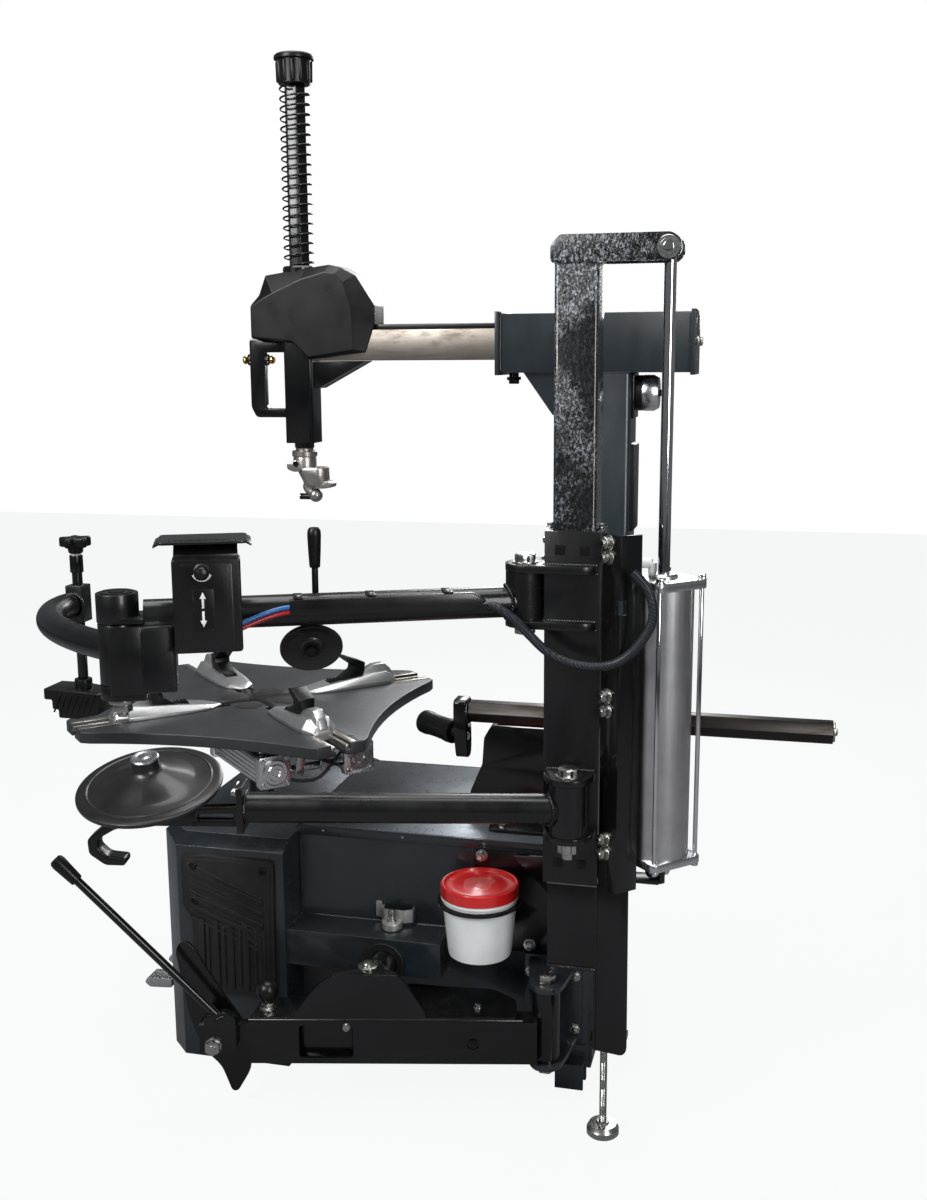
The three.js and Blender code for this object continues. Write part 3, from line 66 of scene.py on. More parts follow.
class Nodes:
    """Short calls for building a material's node tree."""

    def __init__(self, name):
        self.material = bpy.data.materials.new(name)
        self.material.use_nodes = True
        self.tree = self.material.node_tree
        self.tree.nodes.clear()
        self.shader = self.add("ShaderNodeBsdfPrincipled")
        output = self.add("ShaderNodeOutputMaterial")
        self.link(self.shader.outputs["BSDF"], output.inputs["Surface"])
        coords = self.add("ShaderNodeTexCoord")
        self.place = coords.outputs["Object"]
        self.height = None

    def add(self, kind, **values):
        node = self.tree.nodes.new(kind)
        for key, value in values.items():
            setattr(node, key, value)
        return node

    def link(self, source, target):
        self.tree.links.new(source, target)

    def feed(self, target, value):
        if isinstance(value, bpy.types.NodeSocket):
            self.link(value, target)
        else:
            target.default_value = (*value, 1.0) if target.type == "RGBA" else value

    def fill(self, node, values):
        for key, value in values.items():
            self.feed(node.inputs[key], value)
        return node

    def noise(self, scale, detail, stretch=None, roughness=0.5):
        node = self.add("ShaderNodeTexNoise")
        values = {"Scale": scale, "Detail": detail, "Roughness": roughness, "Vector": self.stretched(stretch)}
        return self.fill(node, values).outputs["Fac"]

    def stretched(self, stretch):
        if stretch is None:
            return self.place
        node = self.add("ShaderNodeMapping")
        return self.fill(node, {"Scale": stretch, "Vector": self.place}).outputs["Vector"]

    def cells(self, scale, stretch):
        node = self.add("ShaderNodeTexVoronoi", feature="SMOOTH_F1")
        return self.fill(node, {"Scale": scale, "Vector": self.stretched(stretch)}).outputs["Distance"]

    def ramp(self, value, low, high, out_low=0.0, out_high=1.0):
        node = self.add("ShaderNodeMapRange")
        values = {"Value": value, "From Min": low, "From Max": high, "To Min": out_low, "To Max": out_high}
        return self.fill(node, values).outputs["Result"]

    def maths(self, operation, a, b, clamp=False):
        node = self.add("ShaderNodeMath", operation=operation, use_clamp=clamp)
        return self.fill(node, {0: a, 1: b}).outputs[0]

    def times(self, a, b):
        return self.maths("MULTIPLY", a, b)

    def mix(self, factor, a, b):
        node = self.add("ShaderNodeMix", data_type="RGBA")
        return self.fill(node, {"Factor": factor, "A": a, "B": b}).outputs["Result"]

    def bump(self, height, strength, distance):
        """Adds relief on top of the relief that is already there."""
        node = self.fill(
            self.add("ShaderNodeBump"), {"Strength": strength, "Distance": distance, "Height": height}
        )
        if self.height is not None:
            self.link(self.height, node.inputs["Normal"])
        self.height = node.outputs["Normal"]
        self.link(self.height, self.shader.inputs["Normal"])

    def edges(self, radius=0.0015, gain=6.0):
        """A mask that is high along convex and concave edges."""
        bevel = self.fill(self.add("ShaderNodeBevel", samples=3), {"Radius": radius})
        geometry = self.add("ShaderNodeNewGeometry")
        dot = self.add("ShaderNodeVectorMath", operation="DOT_PRODUCT")
        self.fill(dot, {0: bevel.outputs["Normal"], 1: geometry.outputs["Normal"]})
        return self.maths("MULTIPLY", self.maths("SUBTRACT", 1.0, dot.outputs["Value"]), gain, True)

    def upward(self):
        geometry = self.add("ShaderNodeNewGeometry")
        split = self.add("ShaderNodeSeparateXYZ")
        self.link(geometry.outputs["Normal"], split.inputs["Vector"])
        return self.ramp(split.outputs["Z"], 0.6, 1.0)

    def surface(self, **values):
        names = {
            "color": "Base Color", "roughness": "Roughness", "metallic": "Metallic", "coat": "Coat Weight",
            "coat_roughness": "Coat Roughness", "specular": "Specular IOR Level",
            "anisotropic": "Anisotropic",
            "subsurface": "Subsurface Weight", "sheen": "Sheen Weight",
        }
        self.fill(self.shader, {names[key]: value for key, value in values.items()})
        return self.material


def paint(name, color, rough, coat, peel, dust, wear=0.25, specular=0.5):
    """Machine enamel: slight shade drift, orange peel, wiped smears, dust on top faces and thin edges."""
    n = Nodes(name)
    drift = n.ramp(n.noise(9.0, 4.0), 0.3, 0.7)
    deep = n.mix(drift, [c * 0.82 for c in color], [min(1.0, c * 1.18 + 0.001) for c in color])
    dusty = n.times(n.upward(), n.ramp(n.noise(40.0, 5.0), 0.35, 0.75, 0.2, 1.0))
    dusted = n.mix(n.times(dusty, dust), deep, (0.32, 0.31, 0.29))
    chips = n.times(n.edges(), n.ramp(n.noise(120.0, 4.0), 0.52, 0.62))
    color_out = n.mix(n.times(chips, wear), dusted, (0.3, 0.3, 0.29))
    smear = n.noise(14.0, 5.0, (1.0, 1.0, 0.35), 0.6)
    roughness = n.ramp(smear, 0.3, 0.75, rough * 0.7, rough * 1.35)
    n.bump(n.noise(260.0, 2.0), peel, 0.0006)
    n.bump(n.noise(22.0, 2.0), 0.08, 0.002)
    return n.surface(color=color_out, roughness=roughness, coat=coat, coat_roughness=0.12, specular=specular)


def wrinkle_paint(name, color):
    """Black enamel laid thickly on a rough tube, with pale glints painted into its colour in patches: painted
    highlights where its blisters would catch light.
    """
    n = Nodes(name)
    blister = n.cells(420.0, (1.0, 1.0, 0.8))
    coarse = n.noise(150.0, 5.0, (1.0, 1.0, 0.7), 0.65)
    patch = n.ramp(n.noise(6.5, 3.0), 0.44, 0.6, 0.08, 1.0)
    relief = n.times(n.maths("ADD", blister, coarse), patch)
    n.bump(relief, 0.8, 0.0018)
    # painted highlight: pale glints mixed into the base colour, gathered in patches
    painted_glint = n.times(n.ramp(n.noise(260.0, 4.0, (1.0, 1.0, 0.6), 0.75), 0.52, 0.6), patch)
    color_out = n.mix(n.times(painted_glint, 0.75), color, (0.46, 0.5, 0.56))
    return n.surface(
        color=color_out, roughness=n.ramp(coarse, 0.3, 0.7, 0.16, 0.36), coat=0.5, coat_roughness=0.09
    )


EVEN = (1.0, 1.0, 1.0)
LENGTHWISE = (2.0, 0.06, 2.0)


def metal(name, color, rough, grain=EVEN, stain=0.0, stain_color=(0.25, 0.19, 0.12), cast=0.0, gleam=1.0):
    """Bare or plated metal: grain lines, cloudy roughness, optional stains and a cast skin."""
    n = Nodes(name)
    lines = n.noise(170.0, 4.0, grain, 0.6)
    cloud = n.noise(18.0, 5.0, None, 0.6)
    toned = n.mix(n.ramp(cloud, 0.3, 0.7), [c * 0.86 for c in color], [min(1.0, c * 1.06) for c in color])
    blot = n.ramp(n.noise(26.0, 7.0, (1.0, 0.35, 1.0), 0.7), 0.5, 0.68)
    stained = n.mix(n.times(blot, stain), toned, stain_color)
    rim = n.mix(n.times(n.edges(0.001), 0.35), stained, [min(1.0, c * 1.25) for c in color])
    n.bump(lines, 0.06 if cast == 0 else 0.02, 0.0004)
    if cast:
        n.bump(n.noise(320.0, 3.0), cast, 0.0009)
    roughness = n.maths(
        "ADD", n.ramp(lines, 0.2, 0.8, rough * 0.75, rough * 1.25), n.times(blot, stain * 0.25)
    )
    return n.surface(color=rim, roughness=roughness, metallic=gleam)


def plastic(name, color, rough, grain, scuff, coat=0.0, subsurface=0.0, specular=0.5):
    """Moulded plastic or rubber: fine spark grain, faint flow drift and pale scuffs along the edges."""
    n = Nodes(name)
    drift = n.ramp(n.noise(12.0, 3.0), 0.3, 0.7)
    toned = n.mix(drift, [c * 0.88 for c in color], [min(1.0, c * 1.12 + 0.001) for c in color])
    rub = n.times(n.edges(0.002, 4.0), n.ramp(n.noise(60.0, 5.0), 0.4, 0.7))
    scuffed = n.mix(n.times(rub, scuff), toned, (0.5, 0.5, 0.5))
    n.bump(n.noise(420.0, 2.0), grain, 0.0004)
    roughness = n.ramp(n.noise(20.0, 5.0), 0.3, 0.7, rough * 0.8, rough * 1.2)
    return n.surface(
        color=scuffed, roughness=roughness, coat=coat, coat_roughness=0.1, subsurface=subsurface,
        specular=specular,
    )


def braid(name, color):
    """Woven hose sleeve: two crossing sets of strands."""
    n = Nodes(name)
    height = None
    for stretch in (EVEN, (-1.0, 1.0, 1.0)):
        wave = n.add("ShaderNodeTexWave", wave_type="BANDS", bands_direction="DIAGONAL")
        n.fill(wave, {"Scale": 95.0, "Vector": n.stretched(stretch)})
        height = wave.outputs["Fac"] if height is None else n.times(height, wave.outputs["Fac"])
    n.bump(height, 0.9, 0.0012)
    # painted shade: the colour follows the weave's height, darker in the hollows between strands and lighter on
    # their crests
    color_out = n.mix(height, [c * 0.5 for c in color], [c * 1.6 for c in color])
    return n.surface(color=color_out, roughness=0.5, coat=0.15)


MATERIALS = {
    "blue_grey_paint": paint(
        "blue_grey_enamel", (0.0125, 0.0185, 0.0225), rough=0.3, coat=0.55, peel=0.18, dust=0.03
    ),
    "top_sheet": metal(
        "polished_top_sheet", (0.2, 0.225, 0.25), 0.3, (0.4, 2.0, 1.0), 0.5, (0.08, 0.09, 0.1), 0.0, 0.75
    ),
    "column_paint": paint("column_enamel", (0.015, 0.022, 0.027), rough=0.36, coat=0.4, peel=0.22, dust=0.03),
    "black_paint": paint(
        "black_enamel", (0.0024, 0.0025, 0.0028), rough=0.22, coat=0.4, peel=0.2, dust=0.02, wear=0.05,
        specular=0.35,
    ),
    "tower_paint": wrinkle_paint("black_wrinkle_enamel", (0.003, 0.003, 0.0033)),
    "satin_black": paint(
        "satin_black_enamel", (0.0034, 0.0035, 0.0039), rough=0.31, coat=0.25, peel=0.3, dust=0.03, wear=0.07,
        specular=0.4,
    ),
    "rubber": plastic("black_rubber", (0.004, 0.004, 0.0042), rough=0.5, grain=0.3, coat=0.1, scuff=0.06),
    "black_plastic": plastic(
        "black_moulding", (0.0042, 0.0042, 0.0046), rough=0.33, grain=0.3, scuff=0.04, specular=0.35
    ),
    "disc_plastic": plastic(
        "black_cone_moulding", (0.0068, 0.0066, 0.0066), rough=0.36, grain=0.12, coat=0.25, scuff=0.1
    ),
    "steel": metal("brushed_bar_steel", (0.56, 0.53, 0.48), 0.3, LENGTHWISE, 0.55),
    "slide_steel": metal(
        "brushed_slide_steel", (0.3, 0.27, 0.235), 0.42, LENGTHWISE, 0.75, (0.13, 0.105, 0.08)
    ),
    "greasy_steel": metal(
        "greasy_bar_steel", (0.045, 0.041, 0.038), 0.34, LENGTHWISE, 0.7, (0.035, 0.024, 0.014)
    ),
    "zinc": metal("zinc_plated_steel", (0.5, 0.5, 0.48), 0.27, EVEN, 0.12, (0.3, 0.27, 0.2)),
    "chrome": metal("chromed_rod", (0.78, 0.78, 0.78), 0.08, (1.0, 1.0, 0.02)),
    "aluminium": metal(
        "drawn_aluminium", (0.62, 0.62, 0.62), 0.34, (3.0, 3.0, 0.03), 0.08, (0.35, 0.34, 0.32)
    ),
    "bright_aluminium": metal("bright_aluminium", (0.7, 0.71, 0.72), 0.26, EVEN, 0.1, (0.3, 0.3, 0.3)),
    "cast_grey": metal(
        "silver_cast_paint", (0.52, 0.52, 0.51), 0.42, EVEN, 0.15, (0.12, 0.12, 0.12), 0.5, 0.75
    ),
    "aluminium_cast": metal("cast_aluminium", (0.6, 0.6, 0.6), 0.36, EVEN, 0.2, (0.2, 0.19, 0.17), 0.3, 0.95),
    "dark_cast": metal("dark_table_casting", (0.05, 0.052, 0.056), 0.4, EVEN, 0.0, (0.1, 0.1, 0.1), 0.2, 0.4),
    "black_steel": metal(
        "blackened_tool_steel", (0.012, 0.012, 0.013), 0.32, EVEN, 0.2, (0.1, 0.09, 0.08), 0.1, 0.6
    ),
    "tool_cast": metal("cast_tool_steel", (0.42, 0.4, 0.375), 0.34, EVEN, 0.35, (0.2, 0.175, 0.15), 0.3, 0.9),
    "jaw_cast": metal("silver_jaw_casting", (0.52, 0.52, 0.52), 0.34, EVEN, 0.1, (0.2, 0.2, 0.2), 0.25, 0.85),
    "brass": metal("lacquered_brass", (0.72, 0.52, 0.16), 0.22),
    "white_plastic": plastic(
        "white_bucket", (0.82, 0.82, 0.8), rough=0.35, grain=0.05, coat=0.2, scuff=0.0, subsurface=0.1
    ),
    "red_plastic": plastic("red_lid", (0.55, 0.012, 0.012), rough=0.25, grain=0.06, coat=0.5, scuff=0.02),
    "blue_hose": plastic("blue_air_hose", (0.01, 0.12, 0.36), rough=0.3, grain=0.05, coat=0.3, scuff=0.0),
    "red_hose": plastic("red_air_hose", (0.35, 0.01, 0.01), rough=0.3, grain=0.05, coat=0.3, scuff=0.0),
    "braid": braid("braided_sleeve", (0.006, 0.008, 0.016)),
    "mark_white": plastic("printed_white", (0.75, 0.75, 0.75), rough=0.5, grain=0.02, scuff=0.0),
    # painted shade: a near-black sheet laid over openings whose insides are in shade
    "painted_shade": plastic("painted_shade_inside", (0.002, 0.002, 0.002), rough=0.8, grain=0.1, scuff=0.0),
    # painted reflection: a coloured film that stands in for glare on the glossy lid
    "painted_glare_film": plastic("painted_glare_film", (0.6, 0.1, 0.09), rough=0.2, grain=0.03, coat=0.6, scuff=0.0),
}


# ------------------------------------------------------------------ mesh pieces

def smooth_by_angle(mesh, degrees):
    """Smooth shading, broken along the edges that are sharper than the angle."""
    bm = bmesh.new()
    bm.from_mesh(mesh)
    limit = math.radians(degrees)
    for face in bm.faces:
        face.smooth = True
    for edge in bm.edges:
        edge.smooth = len(edge.link_faces) == 2 and edge.calc_face_angle(0.0) < limit
    bm.to_mesh(mesh)
    bm.free()


def bevel_sharp(bm, width, degrees, segments):
    if width <= 0:
        return
    limit = math.radians(degrees)
    sharp = [e for e in bm.edges if len(e.link_faces) == 2 and e.calc_face_angle(0.0) > limit]
    bmesh.ops.bevel(
        bm, geom=sharp, offset=width, segments=segments, profile=0.5, affect="EDGES", clamp_overlap=True
    )


def merge_flat(bm):
    bmesh.ops.remove_doubles(bm, verts=bm.verts, dist=1e-5)
    bmesh.ops.dissolve_degenerate(bm, edges=bm.edges, dist=1e-5)
    bmesh.ops.dissolve_limit(bm, angle_limit=math.radians(1.0), verts=bm.verts, edges=bm.edges)


def stored(bm, name):
    """Turns a working mesh into one that objects can use."""
    mesh = bpy.data.meshes.new(name)
    bm.to_mesh(mesh)
    bm.free()
    return mesh


def stitch(part, low, high):
    """Joins two matching rings of points with faces."""
    for i in range(len(low)):
        j = (i + 1) % len(low)
        part.faces.new((low[i], low[j], high[j], high[i]))


def stitch_all(part, rings):
    """Joins matching rings into one closed skin."""
    for low, high in zip(rings, rings[1:]):
        stitch(part, low, high)
    part.faces.new(rings[0])
    part.faces.new(rings[-1])


class Piece:
    """Closed solids gathered into one mesh, drawn in millimetres in an optional local frame.

    Every solid is added by one call, and done() places the mesh on its body.
    """

    def __init__(self, name, material, body, local=None):
        self.name, self.material, self.body = name, material, body
        self.local = local or Matrix.Identity(4)
        self.bm = bmesh.new()

    def take(self, part, bevel=0.0, degrees=30.0, segments=2):
        bmesh.ops.recalc_face_normals(part, faces=part.faces)
        bevel_sharp(part, bevel, degrees, segments)
        mesh = stored(part, "part")
        self.bm.from_mesh(mesh)
        bpy.data.meshes.remove(mesh)
        return self

    def box(self, x0, x1, y0, y1, z0, z1, bevel=1.0):
        part = bmesh.new()
        bmesh.ops.create_cube(part, size=1.0)
        centre = Vector(((x0 + x1) / 2, (y0 + y1) / 2, (z0 + z1) / 2))
        size = Matrix.Diagonal((x1 - x0, y1 - y0, z1 - z0, 1.0))
        part.transform(Matrix.Translation(centre) @ size)
        return self.take(part, bevel)

    def rod(self, start, end, radius, end_radius=None, bevel=0.6, sides=48):
        start, end = Vector(start), Vector(end)
        way = end - start
        part = bmesh.new()
        top = radius if end_radius is None else end_radius
        bmesh.ops.create_cone(
            part, cap_ends=True, segments=sides, radius1=radius, radius2=top, depth=way.length
        )
        turn = way.to_track_quat("Z", "Y").to_matrix().to_4x4()
        part.transform(Matrix.Translation((start + end) / 2) @ turn)
        return self.take(part, bevel, 40.0)

    def post(self, x, y, low, high, *sizes, **options):
        """An upright rod."""
        return self.rod((x, y, low), (x, y, high), *sizes, **options)

    def prism(self, axis, outline, lo, hi, bevel, segments=2, degrees=30.0):
        part = bmesh.new()
        put = {
            "x": lambda u, v, w: (w, u, v), "y": lambda u, v, w: (u, w, v), "z": lambda u, v, w: (u, v, w),
        }[axis]
        bottom = [part.verts.new(put(u, v, lo)) for u, v in outline]
        top = [part.verts.new(put(u, v, hi)) for u, v in outline]
        part.faces.new(bottom)
        part.faces.new(top)
        stitch(part, bottom, top)
        return self.take(part, bevel, degrees, segments)

    def sleeve(self, outer, inner, lo, hi, bevel):
        """An upright hollow bar between two outlines with the same number of points."""
        part = bmesh.new()
        rings = [
            [part.verts.new((x, y, z)) for x, y in edge]
            for edge, z in ((outer, lo), (outer, hi), (inner, hi), (inner, lo))
        ]
        for k in range(4):
            stitch(part, rings[k], rings[(k + 1) % 4])
        return self.take(part, bevel)

    def lathe(self, profile, start=(0, 0, 0), axis=(0, 0, 1), sides=72):
        """Turns (radius, distance) points about an axis, from the axis back to it or as a closed loop."""
        part = bmesh.new()
        rings = []
        for radius, height in profile:
            if radius == 0:
                rings.append([part.verts.new((0, 0, height))])
                continue
            angles = [2 * math.pi * i / sides for i in range(sides)]
            rings.append(
                [part.verts.new((radius * math.cos(a), radius * math.sin(a), height)) for a in angles]
            )
        closed = profile[0][0] != 0
        pairs = list(zip(rings, rings[1:] + ([rings[0]] if closed else [])))
        for low, high in pairs:
            for i in range(sides):
                j = (i + 1) % sides
                corners = [low[i % len(low)], low[j % len(low)], high[j % len(high)], high[i % len(high)]]
                unique = list(dict.fromkeys(corners))
                if len(unique) > 2:
                    part.faces.new(unique)
        turn = Vector(axis).to_track_quat("Z", "Y").to_matrix().to_4x4()
        part.transform(Matrix.Translation(Vector(start)) @ turn)
        return self.take(part)

    def tube(self, points, radius, sides, steps, ridge=None):
        """A round bar along a smooth curve through the points. ridge(distance) may vary the radius."""
        path = spline(points, steps)
        part = bmesh.new()
        rings, side, travelled = [], None, 0.0
        for i, here in enumerate(path):
            ahead = path[min(i + 1, len(path) - 1)] - path[max(i - 1, 0)]
            ahead.normalize()
            if side is None:
                side = ahead.orthogonal().normalized()
            side = (side - ahead * side.dot(ahead)).normalized()
            other = ahead.cross(side)
            travelled += (here - path[i - 1]).length if i else 0.0
            r = ridge(travelled) if ridge else radius
            angles = [2 * math.pi * k / sides for k in range(sides)]
            rings.append(
                [part.verts.new(here + (side * math.cos(a) + other * math.sin(a)) * r) for a in angles]
            )
        stitch_all(part, rings)
        return self.take(part)

    def hexagon(self, at, direction, flats, height, washer=True, dome=True):
        """A hexagon bolt head standing on a surface, with its washer."""
        at, direction = Vector(at), Vector(direction).normalized()
        lift = 1.8 if washer else 0.0
        if washer:
            self.rod(at, at + direction * lift, flats * 0.72, bevel=0.4, sides=32)
        start = at + direction * lift
        self.rod(start, start + direction * height, flats / math.sqrt(3), bevel=0.7, sides=6)
        if dome:
            self.rod(
                start + direction * height, start + direction * (height + 0.8), flats * 0.4, flats * 0.3, 0.0,
                24,
            )
        return self

    def socket(self, at, direction, radius, height):
        """A socket cap screw: a round head with a hexagonal recess."""
        at, direction = Vector(at), Vector(direction).normalized()
        outer, inner = radius, radius * 0.5
        profile = [
            (0, 0), (outer, 0), (outer, height - 0.8), (outer - 0.8, height), (inner, height),
            (inner, height * 0.5), (0, height * 0.5),
        ]
        return self.lathe(profile, at, direction, 24)

    def weld(self, points, radius):
        """A weld bead: a lumpy bar along the joint."""
        rng = random.Random(len(points) * 31 + int(abs(points[0][0]) + abs(points[0][2])))
        phase = rng.random()
        return self.tube(
            points, radius, 10, 40,
            lambda d: radius * (0.82 + 0.22 * abs(math.sin((d / 5.0 + phase) * math.pi))),
        )

    def done(self, replaces=(), angle=32.0):
        self.bm.transform(Matrix.Diagonal((MM, MM, MM, 1.0)) @ self.local)
        return finish_piece(self.name, stored(self.bm, self.name), self.material, self.body, replaces, angle)


def finish_piece(name, mesh, material, body, replaces, angle=32.0):
    """Gives a mesh its shading and material, ties it to a body and hides the CAD nodes that it shows."""
    smooth_by_angle(mesh, angle)
    mesh.materials.clear()
    mesh.materials.append(MATERIALS[material])
    piece = bpy.data.objects.new(name, mesh)
    bpy.context.scene.collection.objects.link(piece)
    if body:
        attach(piece, body)
    if replaces:
        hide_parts(*replaces)
    return piece


def spline(points, steps):
    """Points along a Catmull-Rom curve through the given ones."""
    knots = [Vector(p) for p in points]
    if len(knots) == 2:
        return [knots[0].lerp(knots[1], i / steps) for i in range(steps + 1)]
    ends = [knots[0] * 2 - knots[1]] + knots + [knots[-1] * 2 - knots[-2]]
    path = []
    for a, b, c, d in zip(ends, ends[1:], ends[2:], ends[3:]):
        for i in range(steps):
            t = i / steps
            path.append(
                0.5 * (
                    2 * b + (c - a) * t + (
                        2 * a - 5 * b + 4 * c - d
                    ) * t * t + (3 * b - a - 3 * c + d) * t ** 3
                )
            )
    path.append(knots[-1])
    return path


def rounded(corners, radius, steps=5):
    """An outline with its corners rounded."""
    points = []
    count = len(corners)
    for i, corner in enumerate(corners):
        here = Vector(corner)
        before, after = Vector(corners[i - 1]) - here, Vector(corners[(i + 1) % count]) - here
        reach = min(radius, before.length / 2.01, after.length / 2.01)
        enter, leave = here + before.normalized() * reach, here + after.normalized() * reach
        for k in range(steps + 1):
            t = k / steps
            point = enter * (1 - t) ** 2 + here * (2 * t * (1 - t)) + leave * t ** 2
            points.append((point.x, point.y))
    return points


def arc(centre, radius, start, end, steps):
    angles = [math.radians(start + (end - start) * i / steps) for i in range(steps + 1)]
    return [(centre[0] + radius * math.cos(a), centre[1] + radius * math.sin(a)) for a in angles]


def refine(node, material, bevel, segments=2):
    """The CAD node's own shape as a new piece with rounded edges."""
    bm = bmesh.new()
    bm.from_mesh(NODES[node].data)
    merge_flat(bm)
    bevel_sharp(bm, bevel * MM, 30.0, segments)
    name = node + "_body"
    finish_piece(name, stored(bm, name), material, BODY_OF[node], (node,))


def turned(x, y, degrees):
    return Matrix.Translation((x, y, 0)) @ Matrix.Rotation(math.radians(degrees), 4, "Z")


def hexagon_outline(x, y, flats):
    """Two flats are parallel to the first axis."""
    return arc((x, y), flats / math.sqrt(3), 0, 300, 5)


def panel(x0, x1, y0, y1, radius, steps=5):
    return rounded([(x0, y0), (x1, y0), (x1, y1), (x0, y1)], radius, steps)


def square(x, y, half, radius):
    return panel(x - half, x + half, y - half, y + half, radius, 6)


def loft(piece, sections, bevel, degrees):
    """A closed solid through matching rings of points."""
    part = bmesh.new()
    rings = [[part.verts.new(p) for p in ring] for ring in sections]
    stitch_all(part, rings)
    return piece.take(part, bevel, degrees)


def dress(node, material):
    """Keeps a hidden CAD node as it is and gives it a finished material."""
    data = NODES[node].data
    data.materials.clear()
    data.materials.append(MATERIALS[material])


# Hinge pins in plan (mm) and the turn of what hangs on them (degrees).
UP_PIN, UP_TURN = (450, 728), 24
LOW_PIN, LOW_TURN = (510, 822), 12
BREAKER_PIN, BREAKER_TURN = (355, 755), 12.8
LIFT_AXIS, LIFT_TURN = (420, 980), -45
UP = turned(*UP_PIN, UP_TURN)
LOW = turned(*LOW_PIN, LOW_TURN)
BRK = turned(*BREAKER_PIN, BREAKER_TURN)
LIFT = turned(*LIFT_AXIS, LIFT_TURN)
# Levels of the table's top and of the two arms' axes, and how far along its arm the elbow stands (mm).
TABLE_TOP, UP_Z, LOW_Z, ELBOW = 732, 1077, 700, 735
# Where the lift disc stands on the lower arm (mm) and how far it leans (degrees).
DISC_REACH, DISC_Z, DISC_LEAN = 779, 743, 14
# The mounting head's axis, the column's centre and its pivot (mm).
HEAD_Y, COLUMN_Y, PIVOT_Y, PIVOT_Z = 130, 811, 791, 640
# Levels of the slide's lock and of the pin that holds the helper rod (mm).
LOCK_Z, ROD_PIN_Z = 1447, 1708
# Angles once round a bar, for the weld beads.
RING = [k * math.pi / 8 for k in range(17)]


def quarter(i, size=4):
    """The turn of one of the table's four slots, as a matrix of the given size."""
    return Matrix.Rotation(math.radians(45 + 90 * i), size, "Z")


def spoke(piece, turn, centre, size, bevel):
    """A bar with square ends, placed in a turned frame."""
    part = bmesh.new()
    bmesh.ops.create_cube(part, size=1.0)
    part.transform(turn @ Matrix.Translation(centre) @ Matrix.Diagonal((*size, 1)))
    piece.take(part, bevel)


# ------------------------------------------------------------------ cabinet and what stands on it

def build_cabinet():
    for node in ("turntable_gearbox", "drive_motor"):
        dress(node, "cast_grey")
    for node in ("breaker_cylinder", "tilt_cylinder"):
        dress(node, "aluminium")
    refine("cabinet", "blue_grey_paint", 2.4, 3)
    top = Piece("cabinet_top_sheet", "top_sheet", "base")
    top.box(-236, 236, 190, 829, 519, 521.2, 0.6)
    top.prism(
        "z", rounded([(-298, -60), (-255, -103), (255, -103), (298, -60), (298, 180), (-298, 180)], 4), 506,
        508, 0.6,
    )
    top.done()
    seams = Piece("cabinet_seams", "blue_grey_paint", "base")
    for side in (-1, 1):
        x = side * 240
        seams.box(*sorted((x, x + side * 2.2)), 186, 832, 500, 521, 0.8)
        seams.box(*sorted((x, x + side * 2.5)), 186, 832, 28, 44, 0.8)
        seams.weld([(side * 242, 187, z) for z in (330, 400, 500)], 2.4)
        seams.weld([(side * 242, y, 316.5) for y in (200, 300, 420, 520)], 2.2)
        seams.weld([(side * 300, 185, 316.5), (side * 270, 185, 316.5), (side * 245, 186, 317)], 2.2)
    seams.box(-240, 240, 830, 834, 40, 505, 1.5)
    seams.done()
    back = Piece("back_service_panel", "blue_grey_paint", "base")
    back.box(-150, 150, 833, 836, 110, 420, 1.2)
    for k in range(6):
        back.box(-90, 90, 835, 838.5, 160 + k * 24, 168 + k * 24, 1.2)
    back.done()
    screws = Piece("cabinet_screws", "zinc", "base")
    for x, z in ((-138, 122), (138, 122), (-138, 408), (138, 408)):
        screws.socket((x, 836, z), (0, 1, 0), 5, 4)
    for side in (-1, 1):
        for y in (240, 420, 600, 780):
            screws.rod((side * 242.2, y, 512), (side * 243.6, y, 512), 3.2, bevel=0.5, sides=20)
    screws.done()
    strap = Piece("hose_strap", "cast_grey", "base")
    strap.prism("x", panel(358, 372, 326, 362, 4), 240.2, 243.5, 0.6)
    strap.prism(
        "z",
        rounded(
            [
                (240.2, 374), (256, 374), (266, 384), (266, 428), (256, 446), (240.2, 446), (240.2, 442),
                (253, 442), (262, 427), (262, 385), (255, 378), (240.2, 378),
            ],
            2,
        ),
        326, 354, 0.5,
    )
    strap.post(276, 404, 318, 334, 22, bevel=2)
    strap.done()
    bolt = Piece("hose_strap_bolt", "zinc", "base")
    bolt.post(276, 404, 334, 340, 11, bevel=0.8).post(276, 404, 340, 360, 7.5, bevel=1)
    bolt.done()


def build_pad():
    refine("bumper_pad", "rubber", 1.6)
    ribs = Piece("bumper_pad_ribs", "rubber", "base")
    face = 350.3
    ribs.prism(
        "x", rounded([(-40, 466), (-40, 360), (-20, 340), (-20, 168), (152, 168), (158, 466)], 10), face - 1,
        face + 1.6, 0.8,
    )
    for k in range(9):
        y = -12 + k * 18.5
        ribs.box(face, face + 4.6, y, y + 7, 182, 318, 1.4)
    for k in range(9):
        z = 452 - k * 15
        ribs.prism("x", [(-30, z), (-30, z + 5), (138, z - 62), (138, z - 67)], face, face + 4.2, 1.2)
    ribs.done()
    screws = Piece("bumper_pad_screws", "black_steel", "base")
    for y, z in ((-18, 452), (142, 452), (142, 185), (-8, 185), (-18, 372)):
        screws.socket((face + 1, y, z), (1, 0, 0), 8, 5)
    screws.done()


